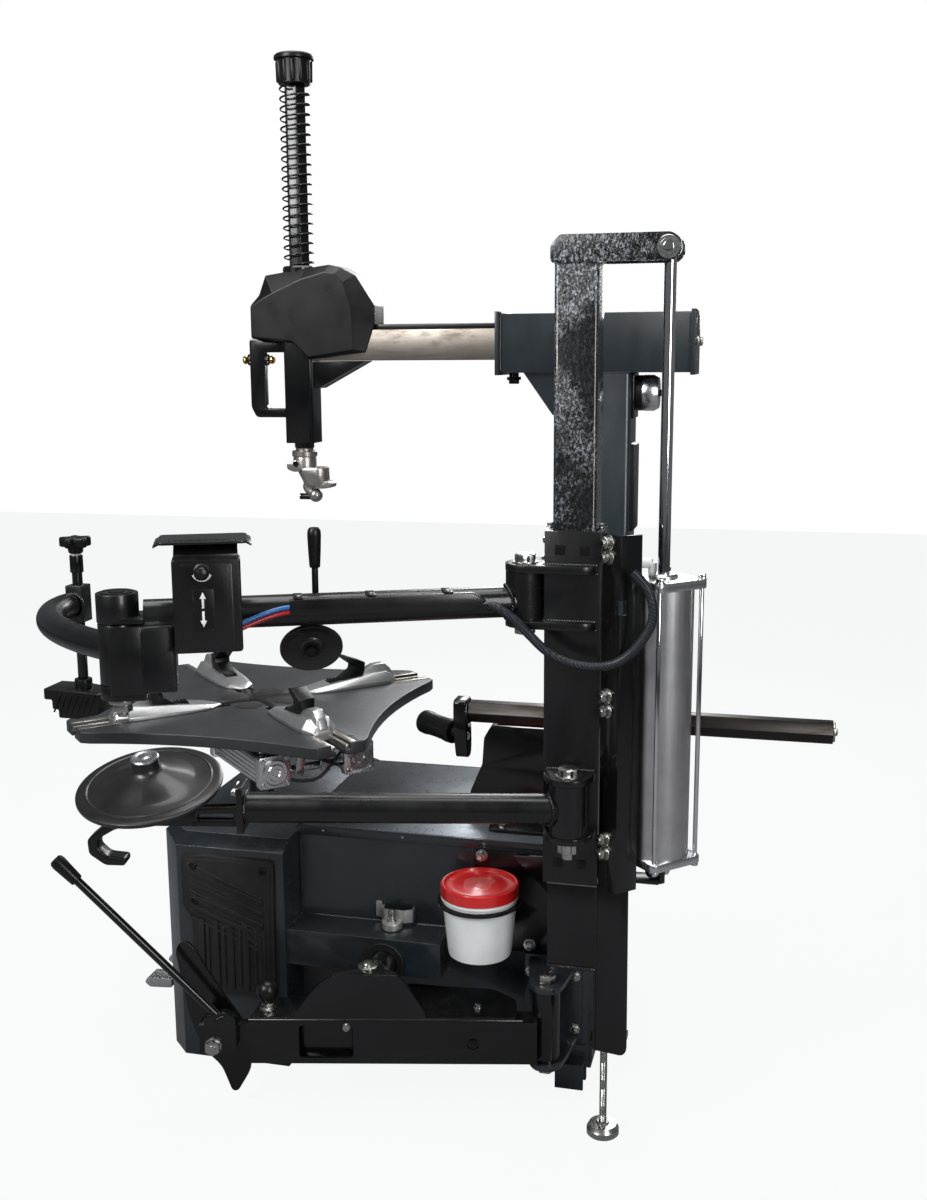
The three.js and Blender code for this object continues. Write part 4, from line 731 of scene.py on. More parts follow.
def build_support():
    refine("column_support", "black_paint", 2.2)
    extras = Piece("column_support_welds", "black_paint", "base")
    for side in (-1, 1):
        extras.weld([(side * 96, y, 522) for y in (540, 640, 740, 822)], 3.2)
        extras.rod((side * 95, PIVOT_Y, PIVOT_Z), (side * 99, PIVOT_Y, PIVOT_Z), 32, bevel=1.5)
    extras.weld([(x, 529, 523) for x in (-90, 0, 90)], 3.2)
    extras.done()
    shaft = Piece("column_pivot_shaft_body", "zinc", "base")
    shaft.rod((-102, PIVOT_Y, PIVOT_Z), (102, PIVOT_Y, PIVOT_Z), 14.3)
    for side in (-1, 1):
        shaft.hexagon((side * 99, PIVOT_Y, PIVOT_Z), (side, 0, 0), 36, 9)
    shaft.done(("column_pivot_shaft",))
    bolts = Piece("support_bolts", "zinc", "base")
    for x, y in ((-167, 623), (167, 623), (167, 770), (-167, 770)):
        bolts.hexagon((x, y, 521), (0, 0, 1), 19, 12)
        bolts.post(x, y, 534, 544, 5.5, bevel=1)
    bolts.done()
    flanges = Piece("support_flanges", "black_paint", "base")
    for side in (-1, 1):
        x0, x1 = sorted((side * 94, side * 195))
        flanges.prism("z", rounded([(x0, 585), (x1, 598), (x1, 800), (x0, 815)], 10), 521, 529, 1.2)
    flanges.done()


def build_bucket():
    x, y = 336, 612
    Piece("bucket_body", "white_plastic", "base").lathe([
        (0, 313), (60, 313), (64, 315), (65.5, 320), (75.5, 418), (76, 433), (79, 434.5), (80, 438),
        (79, 441), (77, 442), (77, 445),
        (73, 445), (64, 324), (0, 322),
    ], (x, y, 0), sides=96).done(("bucket",))
    Piece("bucket_lid_body", "red_plastic", "base").lathe([
        (0, 451), (70, 451), (72, 446), (79, 442.6), (81, 443.5), (81, 460), (80, 465), (77, 467.4),
        (73.5, 466.6), (71.5, 462), (68, 460),
        (50, 460.6), (46, 461.6), (0, 461.6),
    ], (x, y, 0), sides=96).done(("bucket_lid",))
    # Painted reflection: a pale red blot on the lid top in place of the glare on its gloss.
    glare = Piece("lid_painted_glare", "painted_glare_film", "base")
    blot = rounded(
        [(-38, -22), (-18, -40), (12, -34), (34, -30), (40, 2), (24, 30), (-6, 26), (-30, 34), (-44, 8)], 12
    )
    glare.prism("z", [(x + u * 0.9, y + v * 0.9) for u, v in blot], 461.4, 461.9, 0.1)
    glare.done()
    Piece("bucket_hoop", "black_paint", "base").lathe(
        [(79, 424), (86, 424), (87, 426), (87, 430), (86, 431), (79, 431)], (x, y, 0), sides=96
    ).done()


# ------------------------------------------------------------------ tower

def build_tower():
    refine("tower_bracket", "black_paint", 1.8)
    welds = Piece("tower_bracket_welds", "zinc", "base")
    welds.weld([(464.5, y, 535.5) for y in (782, 805, 835, 858)], 3.0)
    welds.weld([(466.5, y, 535) for y in (776, 800, 840, 872)], 2.0)
    welds.done()
    dark_welds = Piece("tower_bracket_dark_welds", "black_paint", "base")
    dark_welds.weld([(466, y, 364.5) for y in (778, 820, 870)], 3.5)
    dark_welds.weld([(464, 868.5, z) for z in (200, 300, 420, 530)], 3.0)
    dark_welds.weld([(251, 776, z) for z in (368, 450, 505)], 3.2)
    dark_welds.done()
    bolts = Piece("tower_bracket_bolts", "zinc", "base")
    for y, z in ((597, 490), (625, 320), (700, 300), (760, 300)):
        bolts.hexagon((250.4, y, z), (1, 0, 0), 18, 10)
    bolts.done()
    Piece("tower_post_body", "tower_paint", "base").sleeve(
        square(420, 820, 39.7, 9), square(420, 820, 34, 4), 364, 1685.4, 0.6
    ).done(("tower_post",))
    refine("tower_head", "tower_paint", 2.0)
    Piece("tower_head_welds", "tower_paint", "base").weld(
        [(461.5, y, 1687) for y in (786, 820, 856)], 2.6
    ).done()
    rod = Piece("helper_rod_body", "chrome", "base")
    rod.post(*LIFT_AXIS, 1080, 1700, 11, bevel=0)
    rod.rod((396, 980, ROD_PIN_Z), (444, 980, ROD_PIN_Z), 18, bevel=1.5)
    rod.rod((370, 980, ROD_PIN_Z), (469, 980, ROD_PIN_Z), 9.4, bevel=1)
    rod.post(*LIFT_AXIS, 1071, 1091, 49, bevel=1)
    rod.done(("helper_rod",))
    clips = Piece("rod_pin_clips", "zinc", "base")
    for side in (-1, 1):
        x = 421 + side * 43.2
        clips.lathe(
            [(10, 0), (19, 0), (20, 0.8), (20, 1.8), (19, 2.6), (10, 2.6)], (x, 980, ROD_PIN_Z), (side, 0, 0),
            48,
        )
        clips.lathe(
            [(9.6, 2.6), (14, 2.6), (14.6, 3.4), (14, 4.4), (9.6, 4.4)], (x, 980, ROD_PIN_Z), (side, 0, 0), 48
        )
    clips.done()
    foot = Piece("levelling_foot_body", "zinc", "base")
    x, y = 428, 884
    foot.lathe(
        [(0, 0), (30, 0), (32, 2), (32, 13), (30.5, 15), (29, 18), (27, 22), (13, 23), (12, 27), (0, 27)],
        (x, y, 0),
    )
    foot.tube([(x, y, 22), (x, y, 250)], 7.2, 20, 460, lambda d: 6.8 + 0.55 * math.sin(d * math.pi))
    foot.post(x, y, 187.5, 199.7, 13.8, sides=6)
    foot.post(x, y, 212.3, 224, 13.8, sides=6)
    foot.done(("levelling_foot",))


# ------------------------------------------------------------------ turntable

def build_table():
    refine("turntable", "dark_cast", 2.6, 3)
    rails = Piece("table_rails", "steel", "turntable")
    for i in range(4):
        for side in (-1, 1):
            spoke(rails, quarter(i), (262, side * 16.95, 722.5), (348, 8.9, 8), 1.2)
    rails.done()
    centre = Piece("table_centre_cross", "greasy_steel", "turntable")
    for i in range(2):
        spoke(centre, quarter(i), (0, 0, TABLE_TOP - 0.9), (190, 22, 2.3), 0.2)
    centre.prism("z", arc((0, 0), 26, 0, 345, 23), 729.8, 732.3, 0.2)
    centre.done()
    # Painted shade: thin near-black sheets on the table top stand in for the shade inside its four windows.
    window_shade = Piece("table_window_shade", "painted_shade", "turntable")
    for i in range(4):
        corners = [(24, 0), (50, -30), (86, -30), (96, 0), (86, 30), (50, 30)]
        turn = Matrix.Rotation(math.radians(90 * i), 2)
        window_shade.prism("z", rounded([tuple(turn @ Vector(c)) for c in corners], 5), 731.6, 732.7, 0.3)
    window_shade.done()
    marks = Piece("table_tip_screws", "black_steel", "turntable")
    for i in range(4):
        for side in (-1, 1):
            for reach, radius in ((395, 6), (150, 5)):
                marks.socket(quarter(i, 3) @ Vector((reach, side * 44, 730.2)), (0, 0, 1), radius, 2)
    marks.done()
    for i in range(4):
        rails = Piece("slot_rails_%d" % (i + 1), "steel", "turntable", quarter(i))
        for low, high in ((-36, -22.5), (22.5, 36)):
            rails.box(330, 436, low, high, 724, 732.3, 0.1)
        rails.done()


def build_jaws():
    z = 732.4
    plate = [
        (99, 6, 2, 3), (130, 34, 4, 9), (180, 41, 6, 16), (230, 42, 8, 22), (300, 42, 8, 28),
        (326, 40, 8, 29), (350, 25, 5, 14), (356, 22, 2, 4),
    ]
    nose = [
        (236, 12, 16, 6), (262, 21, 32, 9), (298, 25, 46, 12), (326, 23, 47, 12), (344, 19, 32, 9),
        (354, 12, 12, 6),
    ]
    claw = rounded(
        [
            (196, 8), (258, 8), (267, 28), (270, 50), (224, 67), (213, 64), (233, 50), (242, 44), (240, 34),
            (224, 24),
        ],
        2.5, 3,
    )
    for i in range(4):
        name = "jaw_%d" % (i + 1)
        turn = quarter(i)
        cover = Piece(name + "_cover", "jaw_cast", name, turn)
        loft(cover, [[
            (r, -half, z), (r, -half, z + low), (r, -half * 0.66, z + high), (r, half * 0.66, z + high),
            (r, half, z + low), (r, half, z),
        ] for r, half, low, high in plate], 1.2, 12)
        loft(cover, [[
            (r, -half, z + 7), (r, -top, z + high), (r, top, z + high), (r, half, z + 7),
        ] for r, half, high, top in nose], 4.0, 12)
        cover.box(130, 355, -21.6, 21.6, 718.4, 733, 0.8)
        cover.box(130, 325, -10.6, 10.6, 706, 720, 0.6)
        cover.done((name,), 20)
        grip = Piece(name + "_claw", "black_steel", name, turn)
        grip.prism("y", [(u, 736 + v * 1.08) for u, v in claw], -19, 19, 1.2)
        grip.prism("y", rounded([(170, 738), (206, 738), (206, 752), (178, 750)], 3), -15, 15, 1.2)
        for k in range(4):
            grip.prism("y", [(178 + k * 8, 750), (182 + k * 8, 756), (186 + k * 8, 750)], -13, 13, 0.3)
        grip.done()
        Piece(name + "_pins", "zinc", name, turn).rod((222, -20, 748), (222, 20, 748), 5).done()


def build_clamp_cylinders():
    turn = quarter(0)
    z, half = 655, 36
    for name, side in (("clamp_cylinder_right", -1), ("clamp_cylinder_left", 1)):
        y = side * 100
        barrel = Piece(name + "_body", "bright_aluminium", "turntable", turn)
        barrel.prism("x", square(y, z, 32, 10), 36, 304, 0.8)
        plate = square(y, z, half, 7)
        for x in (20, 300):
            barrel.prism("x", plate, x, x + 20, 1.4)
        barrel.lathe(
            [(0, 0), (29, 0), (29, 3), (26, 5), (19, 5), (17, 8), (10, 8), (8, 5), (0, 5)], (320, y, z),
            (1, 0, 0), 48,
        )
        for (y0, z0), (y1, z1) in zip(arc((y, z), 12, 0, 315, 7), arc((y, z), 24, 0, 315, 7)):
            barrel.rod((320, y0, z0), (326, y0, z0), 1.6, bevel=0, sides=8)
            barrel.box(319, 323, y1 - 1.5, y1 + 1.5, z1 - 1.5, z1 + 1.5, 0.4)
        for k in range(5):
            barrel.box(
                60, 290, y + side * 32 - 1.2, y + side * 32 + 1.2, z - 22 + 10 * k, z - 18 + 10 * k, 0.4
            )
        barrel.rod((-150, y, z), (22, y, z), 10)
        for x in (60, 250):
            barrel.box(x, x + 20, y - 15, y + 15, z + 30, 705.6, 1)
        if side < 0:
            barrel.rod((262, y + 26, z - 20), (262, -y - 30, z - 20), 9, bevel=0.5)
        barrel.done((name,))
        screws = Piece(name + "_screws", "zinc", "turntable", turn)
        for u in (-28, 28):
            for v in (-28, 28):
                screws.socket((319.5, y + u, z + v), (1, 0, 0), 5, 5)
        screws.done()
    lever = Piece("clamp_link_plate", "zinc", "turntable", turn)
    lever.prism("x", rounded([(-42, 626), (-22, 626), (-14, 700), (-34, 704)], 6), 286, 294, 1)
    lever.prism("x", rounded([(22, 626), (42, 626), (34, 704), (14, 700)], 6), 286, 294, 1)
    lever.done()
    hose = Piece("clamp_air_hose", "rubber", "turntable", turn)
    hose.tube([(308, -66, 680), (318, -40, 684), (322, 0, 670), (316, 40, 650), (300, 64, 640)], 3.6, 16, 12)
    hose.tube([(308, -66, 630), (314, -30, 622), (316, 10, 628), (306, 64, 672)], 3.6, 16, 12)
    hose.done()


# ------------------------------------------------------------------ column and mounting head

def build_column():
    column = Piece("column_body", "column_paint", "column")
    column.sleeve(square(0, COLUMN_Y, 60, 13), square(0, COLUMN_Y, 52, 6), 570, 1489.5, 0.8)
    column.rod((-80, PIVOT_Y, PIVOT_Z), (80, PIVOT_Y, PIVOT_Z), 24, bevel=1.5)
    column.prism("x", rounded([(868, 1155), (880, 1160), (880, 1339), (868, 1344)], 3), -36, 36, 1.2)
    column.done(("column",))
    refine("arm_box", "column_paint", 2.6, 3)
    welds = Piece("arm_box_welds", "column_paint", "column")
    for side in (-1, 1):
        for y in (595.5, 990.5):
            welds.weld([(side * 61, y, z) for z in (1494, 1550, 1608)], 2.4)
        welds.weld([(side * 58, y, 1489.5) for y in (755, 810, 868)], 2.6)
    welds.weld([(x, 595.5, 1613) for x in (-56, 0, 56)], 2.4)
    welds.done()
    bolts = Piece("arm_box_bolts", "zinc", "column")
    bolts.hexagon((49, 1001, 1553), (0, 1, 0), 17, 7, washer=False)
    bolts.hexagon((-49, 1001, 1553), (0, 1, 0), 17, 7, washer=False)
    bolts.done()
    screws = Piece("arm_lock_screws", "black_steel", "column")
    for x in (-22, 22):
        screws.post(x, 613, 1467, 1491, 6, bevel=0.5, sides=24)
        screws.post(x, 613, 1474, 1481, 11, sides=6)
    screws.done()
    Piece("slide_lock_bracket", "black_paint", "column").box(-44, 44, 871.3, 876, 1395, 1489, 1.5).done()
    y = 871.3
    Piece("slide_lock_seat", "black_plastic", "column").lathe(
        [(0, 0), (37, 0), (37, 20), (35, 22), (0, 22)], (0, y, LOCK_Z), (0, 1, 0)
    ).done(("slide_lock_cylinder",))
    Piece("slide_lock_can", "bright_aluminium", "column").lathe(
        [(0, 20), (36.5, 20), (37.5, 22), (37.5, 42), (32, 53), (12, 53.6), (10, 52), (0, 52)],
        (0, y, LOCK_Z), (0, 1, 0),
    ).done()
    fitting = Piece("slide_lock_fitting", "black_plastic", "column")
    fitting.rod((0, y + 48, LOCK_Z), (0, y + 62, LOCK_Z), 7).tube(
        [(0, y + 58, LOCK_Z), (0, y + 70, 1450), (0, y + 70, 1480)], 4, 14, 8
    )
    fitting.done()


HEAD_OUTER = [
    (26, 1566), (27, 1640), (46, 1660), (62, 1702), (161, 1716), (210, 1722), (236, 1716), (270, 1698),
    (312, 1634), (312, 1598),
    (290, 1535), (163, 1520), (122, 1556),
]
HEAD_FACE = [
    (31, 1570), (31, 1634), (52, 1648), (84, 1664), (150, 1692), (204, 1706), (226, 1702), (246, 1682),
    (262, 1630), (265, 1598),
    (266, 1540), (164, 1525), (126, 1560),
]


def build_head():
    Piece("slide_arm_bar", "slide_steel", "slide_arm").box(
        -32.5, 32.5, 163.2, 985, 1517, 1583, 2.4
    ).done(("slide_arm",))
    Piece("slide_arm_guide", "black_plastic", "slide_arm").box(-24, 24, 200, 983, 1582.6, 1594.6, 1.5).done()
    cover = Piece("head_cover_body", "black_plastic", "slide_arm")
    rings = [
        [(x, y, z) for y, z in ring]
        for x, ring in ((-50, HEAD_FACE), (-34, HEAD_OUTER), (34, HEAD_OUTER), (50, HEAD_FACE))
    ]
    loft(cover, rings, 1.6, 6)
    cover.done(("head_cover",), 7)
    tube = Piece("shaft_tube_body", "black_paint", "slide_arm")
    tube.sleeve(square(0, HEAD_Y, 32.5, 7), square(0, HEAD_Y, 24.6, 10), 1336, 1701, 0.8)
    tube.lathe(
        [(24.6, 1700), (34, 1700), (37, 1703), (37, 1718), (34, 1721.6), (24.6, 1721.6)], (0, HEAD_Y, 0)
    )
    tube.prism("x", rounded([(161, 1457), (176, 1457), (288, 1516.4), (161, 1516.4)], 3), -25, 25, 2)
    tube.weld([(26, 163, z) for z in (1458, 1480, 1514)], 3)
    tube.done(("shaft_tube",))
    refine("d_handle", "black_paint", 3.4, 3)
    Piece("lock_button_body", "brass", "lock_button").lathe(
        [
            (0, -10), (7, -10), (9.4, -8), (9.8, -5), (8, -2), (5, 0), (3.9, 2), (3.9, 50), (5.5, 51),
            (8, 54), (9.4, 57), (9, 61), (6, 64), (0, 64),
        ],
        (0, 0, 1520), (0, 1, 0), 40,
    ).done(("lock_button",))
    sleeves = Piece("lock_button_sleeves", "black_plastic", "slide_arm")
    for start in (2.5, 44.3):
        sleeves.lathe(
            [(10.4, 0), (12.2, 0), (12.6, 1), (12.6, 4.6), (12.2, 5.2), (10.4, 5.2)], (0, start, 1520),
            (0, 1, 0), 32,
        )
    sleeves.done()


def build_shaft():
    Piece("hex_shaft_body", "black_paint", "mount_shaft").post(
        0, HEAD_Y, 1324, 2100.6, 23.6, bevel=1.2, sides=6
    ).done(("hex_shaft",))
    cap = Piece("shaft_cap_body", "black_plastic", "mount_shaft")
    cap.lathe([
        (0, 2101), (33, 2101), (35, 2103), (36.5, 2146), (37, 2150), (43, 2152), (43.4, 2156), (42, 2160),
        (38, 2163), (30, 2164.4), (0, 2164.8),
    ], (0, HEAD_Y, 0))
    for k in range(12):
        a = 2 * math.pi * (k + 0.5) / 12
        x, y = 35 * math.cos(a), HEAD_Y + 35 * math.sin(a)
        cap.rod((x * 0.97, HEAD_Y + (y - HEAD_Y) * 0.97, 2106), (x, y, 2148), 5.2, bevel=1.6, sides=16)
    cap.done(("shaft_cap",))
    spring = Piece("return_spring_coil", "black_paint", "slide_arm")
    turns, steps = 18, 18 * 20
    coil = []
    for i in range(steps + 1):
        t = i / steps
        a = 2 * math.pi * turns * t
        coil.append((32 * math.cos(a), HEAD_Y + 32 * math.sin(a), 1724.4 + 372.2 * t))
    spring.tube(coil, 2.2, 10, 1)
    spring = spring.done(("return_spring",), 60)
    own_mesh(spring)
    head = Piece("mount_head_body", "tool_cast", "mount_shaft")
    y = HEAD_Y
    head.lathe(
        [
            (0, 1304), (26, 1304), (28.4, 1306), (28.4, 1316), (26.5, 1318), (20, 1318), (20, 1323.4),
            (0, 1323.4),
        ],
        (0, y, 0),
    )
    head.lathe([(0, 1276), (26, 1276), (26, 1302), (25, 1304.5), (0, 1304.5)], (0, y, 0))
    ear = [
        (-34, 1291), (-34, 1278), (-23, 1272.5), (-12, 1271), (4, 1276), (1, 1286), (-4, 1295), (-14, 1298),
        (-24, 1292),
    ]
    head.prism("x", rounded([(y + u, v) for u, v in ear], 4), -12, 27, 2)
    sections = []
    for z, front, back, half in (
        (1281, -14, 53, 25), (1276, -16, 53.5, 27), (1262, -9, 54, 27), (1250, -3, 55, 25), (1241, 0, 55, 22),
        (1233, 12, 50, 16),
    ):
        edge = [
            (-half * 0.5, y + front), (half * 0.5, y + front), (half, y + front + 16),
            (half * 0.95, y + back - 13), (half * 0.55, y + back),
            (-half * 0.55, y + back), (-half * 0.95, y + back - 13), (-half, y + front + 16),
        ]
        sections.append([(u, v, z) for u, v in rounded(edge, 6, 3)])
    loft(head, sections, 2.0, 24)
    lip = [(34, 1241), (54, 1251), (64, 1249), (68, 1243), (66, 1236), (50, 1234), (30, 1233)]
    head.prism("x", rounded([(y + u, v) for u, v in lip], 3), -19, 19, 3, 3)
    head.tube([(0, y + 8, 1246), (0, y + 4, 1236), (0, y + 9, 1228), (0, y + 20, 1221)], 10, 24, 10)
    ball = 15.6
    profile = [(0, -ball)] + arc((0, 0), ball, -90, 90, 14)[1:-1] + [(0, ball)]
    head.lathe(profile, (0, y + 24, 1217), (1, 0, 0), 40)
    head.done(("mount_head",), 40)
    screw = Piece("mount_head_screw", "black_steel", "mount_shaft")
    screw.socket((26, y - 12, 1289.5), (1, 0, 0), 6.6, 3)
    screw.rod((0, y + 20, 1214), (0, y - 11, 1214), 7, bevel=0.8)
    screw.done()
    Piece("mount_head_roller_end", "chrome", "mount_shaft").rod(
        (0, y - 11, 1214), (0, y - 13.4, 1214), 7.6, bevel=0.5
    ).done()


# ------------------------------------------------------------------ carriage

def build_carriage():
    refine("carriage_sleeve", "satin_black", 2.0)
    bolts = Piece("hinge_bolts", "zinc", "carriage")
    for x, y, low, high in (
        (*UP_PIN, 1150.2, 1166), (*LOW_PIN, 764.2, 780), (*LOW_PIN, 616.5, 639.8), (*UP_PIN, 1016, 1031.8),
    ):
        bolts.prism("z", hexagon_outline(x, y, 36), low, high, 1.4)
        bolts.post(x, y, low + 0.2, high + 0.8, 15.5, bevel=0.5)
    bolts.post(*UP_PIN, 1150, 1152.4, 25, bevel=0.5)
    bolts.post(*LOW_PIN, 764, 766.4, 25, bevel=0.5)
    bolts.post(*LOW_PIN, 604, 618, 12, bevel=1)
    bolts.post(300, 820, 850, 872.4, 7.4, bevel=0.6)
    bolts.hexagon((300, 820, 862), (0, 0, 1), 18, 9, washer=False)
    bolts.done()
    knobs = Piece("sleeve_top_bolts", "zinc", "carriage")
    for y in (768, 861):
        knobs.hexagon((404, y, 1212), (0, 0, 1), 13, 6)
    knobs.rod((420, 768, 1190), (420, 756, 1190), 8, bevel=1, sides=6)
    knobs.rod((440, 768, 1160), (440, 757, 1160), 6, bevel=1)
    knobs.done()
    pockets = Piece("sleeve_slide_pads", "black_steel", "carriage")
    for z in (1178, 578):
        for y in (797, 842):
            ring = [(y - 9, z - 9), (y + 9, z - 9), (y + 9, z + 9), (y - 9, z + 9)]
            pockets.prism("x", rounded(ring, 1.5), 471.6, 473.2, 0.4)
            pockets.prism("x", panel(y - 5, y + 5, z - 6, z + 6, 1), 472.8, 474.2, 0.4)
    pockets.done()
    welds = Piece("sleeve_welds", "satin_black", "carriage")
    for z in (1135, 1151, 1031, 1047):
        welds.weld([(473.5, y, z) for y in (772, 820, 866)], 2.6)
    for z in (765, 639):
        welds.weld([(474, y, z) for y in (776, 820, 866)], 2.6)
    welds.done()
    refine("clamp_plate", "black_paint", 1.5)
    fasteners = Piece("clamp_plate_bolts", "zinc", "carriage")
    out = Vector((1, -1, 0)).normalized()
    for z in (1196, 1170, 914, 886, 640, 612):
        at = Vector((488.0, 888.6, z)) + out * 0.1
        fasteners.hexagon(at, out, 20, 11)
        fasteners.rod(at + out * 12, at + out * 17, 5.6, bevel=1, sides=20)
    fasteners.done()


def build_lift():
    half = 58.3
    plate = square(0, 0, half, 14)
    ends = Piece("lift_cylinder_ends", "bright_aluminium", "carriage", LIFT)
    ends.prism("z", plate, 582, 598, 2.0)
    ends.prism("z", plate, 1108, 1125, 2.0)
    ends.lathe([(12, 1124), (26, 1124), (26, 1129), (24, 1131), (22, 1133), (12, 1133)], (0, 0, 0))
    for lo, hi in ((-19, -7), (7, 19)):
        ends.prism(
            "x", rounded([(-15, 583), (-15, 556), (-8, 548), (8, 548), (15, 556), (15, 583)], 9, 6), lo, hi,
            1.4,
        )
    ends.done(("lift_cylinder",))
    Piece("lift_cylinder_tube", "aluminium", "carriage", LIFT).lathe(
        [(0, 597), (55, 597), (56.3, 599), (56.3, 1107), (55, 1109), (0, 1109)], (0, 0, 0), sides=96
    ).done()
    rods = Piece("lift_cylinder_tie_rods", "chrome", "carriage", LIFT)
    for x in (-49, 49):
        for y in (-49, 49):
            rods.post(x, y, 590, 1134, 4.4, bevel=0.8)
            rods.hexagon((x, y, 1125), (0, 0, 1), 13, 7, dome=False)
            rods.post(x, y, 576, 582.2, 7.2, sides=6)
    rods.rod((-24, 0, 562), (24, 0, 562), 7, bevel=1)
    rods.done()
    fitting = Piece("lift_air_elbow", "white_plastic", "carriage")
    fitting.post(404, 958, 1125, 1150, 8).rod((404, 958, 1148), (404, 930, 1148), 9.5, bevel=2)
    fitting.done()
    Piece("lift_air_hose", "blue_hose", "carriage").tube(
        [(404, 932, 1148), (410, 915, 1149), (440, 905, 1140), (470, 896, 1118)], 4, 14, 12
    ).done()
    lower = Piece("lift_lower_elbow", "black_plastic", "carriage")
    lower.rod((420, 900, 590), (420, 884, 590), 7).tube(
        [(420, 888, 590), (418, 880, 600), (417, 878, 640)], 4, 14, 8
    )
    lower.done()


# ------------------------------------------------------------------ upper arm

def build_upper_arm():
    arm = Piece("upper_arm_body", "satin_black", "upper_arm", UP)
    arm.lathe([(14, 1046.3), (35, 1046.3), (36, 1047.3), (36, 1134.7), (35, 1135.7), (14, 1135.7)], (0, 0, 0))
    arm.rod((0, -20, UP_Z), (0, -690, UP_Z), 29, bevel=0, sides=64)
    arm.weld([(31 * math.cos(a), -37 + 9 * math.cos(a) ** 2, UP_Z + 31 * math.sin(a)) for a in RING], 3.5)
    box = rounded([(-36, 944), (36, 944), (36, 1064), (18, 1081), (-18, 1081), (-36, 1064)], 5)
    arm.prism("y", box, -698.5, -636, 2.2)
    cheek = [(36, 944), (45, 947), (46, 956), (46, 1056), (43, 1064), (30, 1068), (30, 944)]
    arm.prism("y", [(x, z) for x, z in cheek], -697, -640, 1.4)
    cheek_room = arc((0, -ELBOW), 39.4, 68, -23, 12)
    outer = [(44, -750.4), (46, -747), (46, -694), (30, -694)]
    arm.prism("z", [(x, y) for x, y in cheek_room if x > 14] + outer, 944.4, 1065.6, 1.2)
    arm.post(0, -ELBOW, 1068.4, 1121, 37, bevel=2.2, sides=64)
    arm.post(0, -ELBOW, 931, 957.6, 37, bevel=2.2, sides=64)
    for lo, hi in ((931, 957.6), (1068.4, 1080)):
        arm.box(-36.5, 36.5, -ELBOW, -690, lo, hi, 1.6)
    arm.post(0, -ELBOW, 925, 1100, 12)
    arm.done(("upper_arm",))
    # Painted shade: a thin near-black disc stands in for the shade inside the elbow's bore.
    Piece("elbow_socket_shade", "painted_shade", "upper_arm", UP).lathe(
        [(0, 1120.9), (24, 1120.9), (24, 1121.3), (0, 1121.3)], (0, -ELBOW, 0)
    ).done()
    ring = Piece("elbow_pin", "black_steel", "upper_arm", UP)
    ring.lathe([(23, 1121), (30, 1121), (30, 1122.6), (23, 1122.6)], (0, -ELBOW, 0))
    ring.post(0, -ELBOW, 1118, 1123.4, 15, bevel=1, sides=6)
    ring.done()
    nut = Piece("elbow_nut", "zinc", "upper_arm", UP)
    nut.post(0, -ELBOW, 921, 931, 24, bevel=1)
    nut.post(0, -ELBOW, 905, 922, 18, bevel=1.4, sides=6)
    nut.post(0, -ELBOW, 896, 906, 10, bevel=1)
    nut.done()
    refine("cable_cover", "satin_black", 2.6, 3)
    brackets = Piece("cable_cover_clips", "black_steel", "upper_arm", UP)
    for s in (150, 290, 420):
        brackets.box(-2, 44, -s - 8, -s + 8, 1103.4, 1107.4, 1)
    brackets.done()
    clips = Piece("cable_cover_screws", "zinc", "upper_arm", UP)
    for s in (150, 290, 420):
        clips.socket((34, -s, 1106), (0, 0, 1), 4.5, 4)
    clips.done()
    for name, material, lift in (("blue_hose_run", "blue_hose", 0), ("red_hose_run", "red_hose", -9)):
        Piece(name, material, "upper_arm", UP).tube(
            [
                (37, -425, 1089 + lift), (37, -450, 1087 + lift), (42, -480, 1080 + lift),
                (48, -510, 1070 + lift), (52, -530, 1062 + lift),
            ],
            4.3, 16, 10,
        ).done()


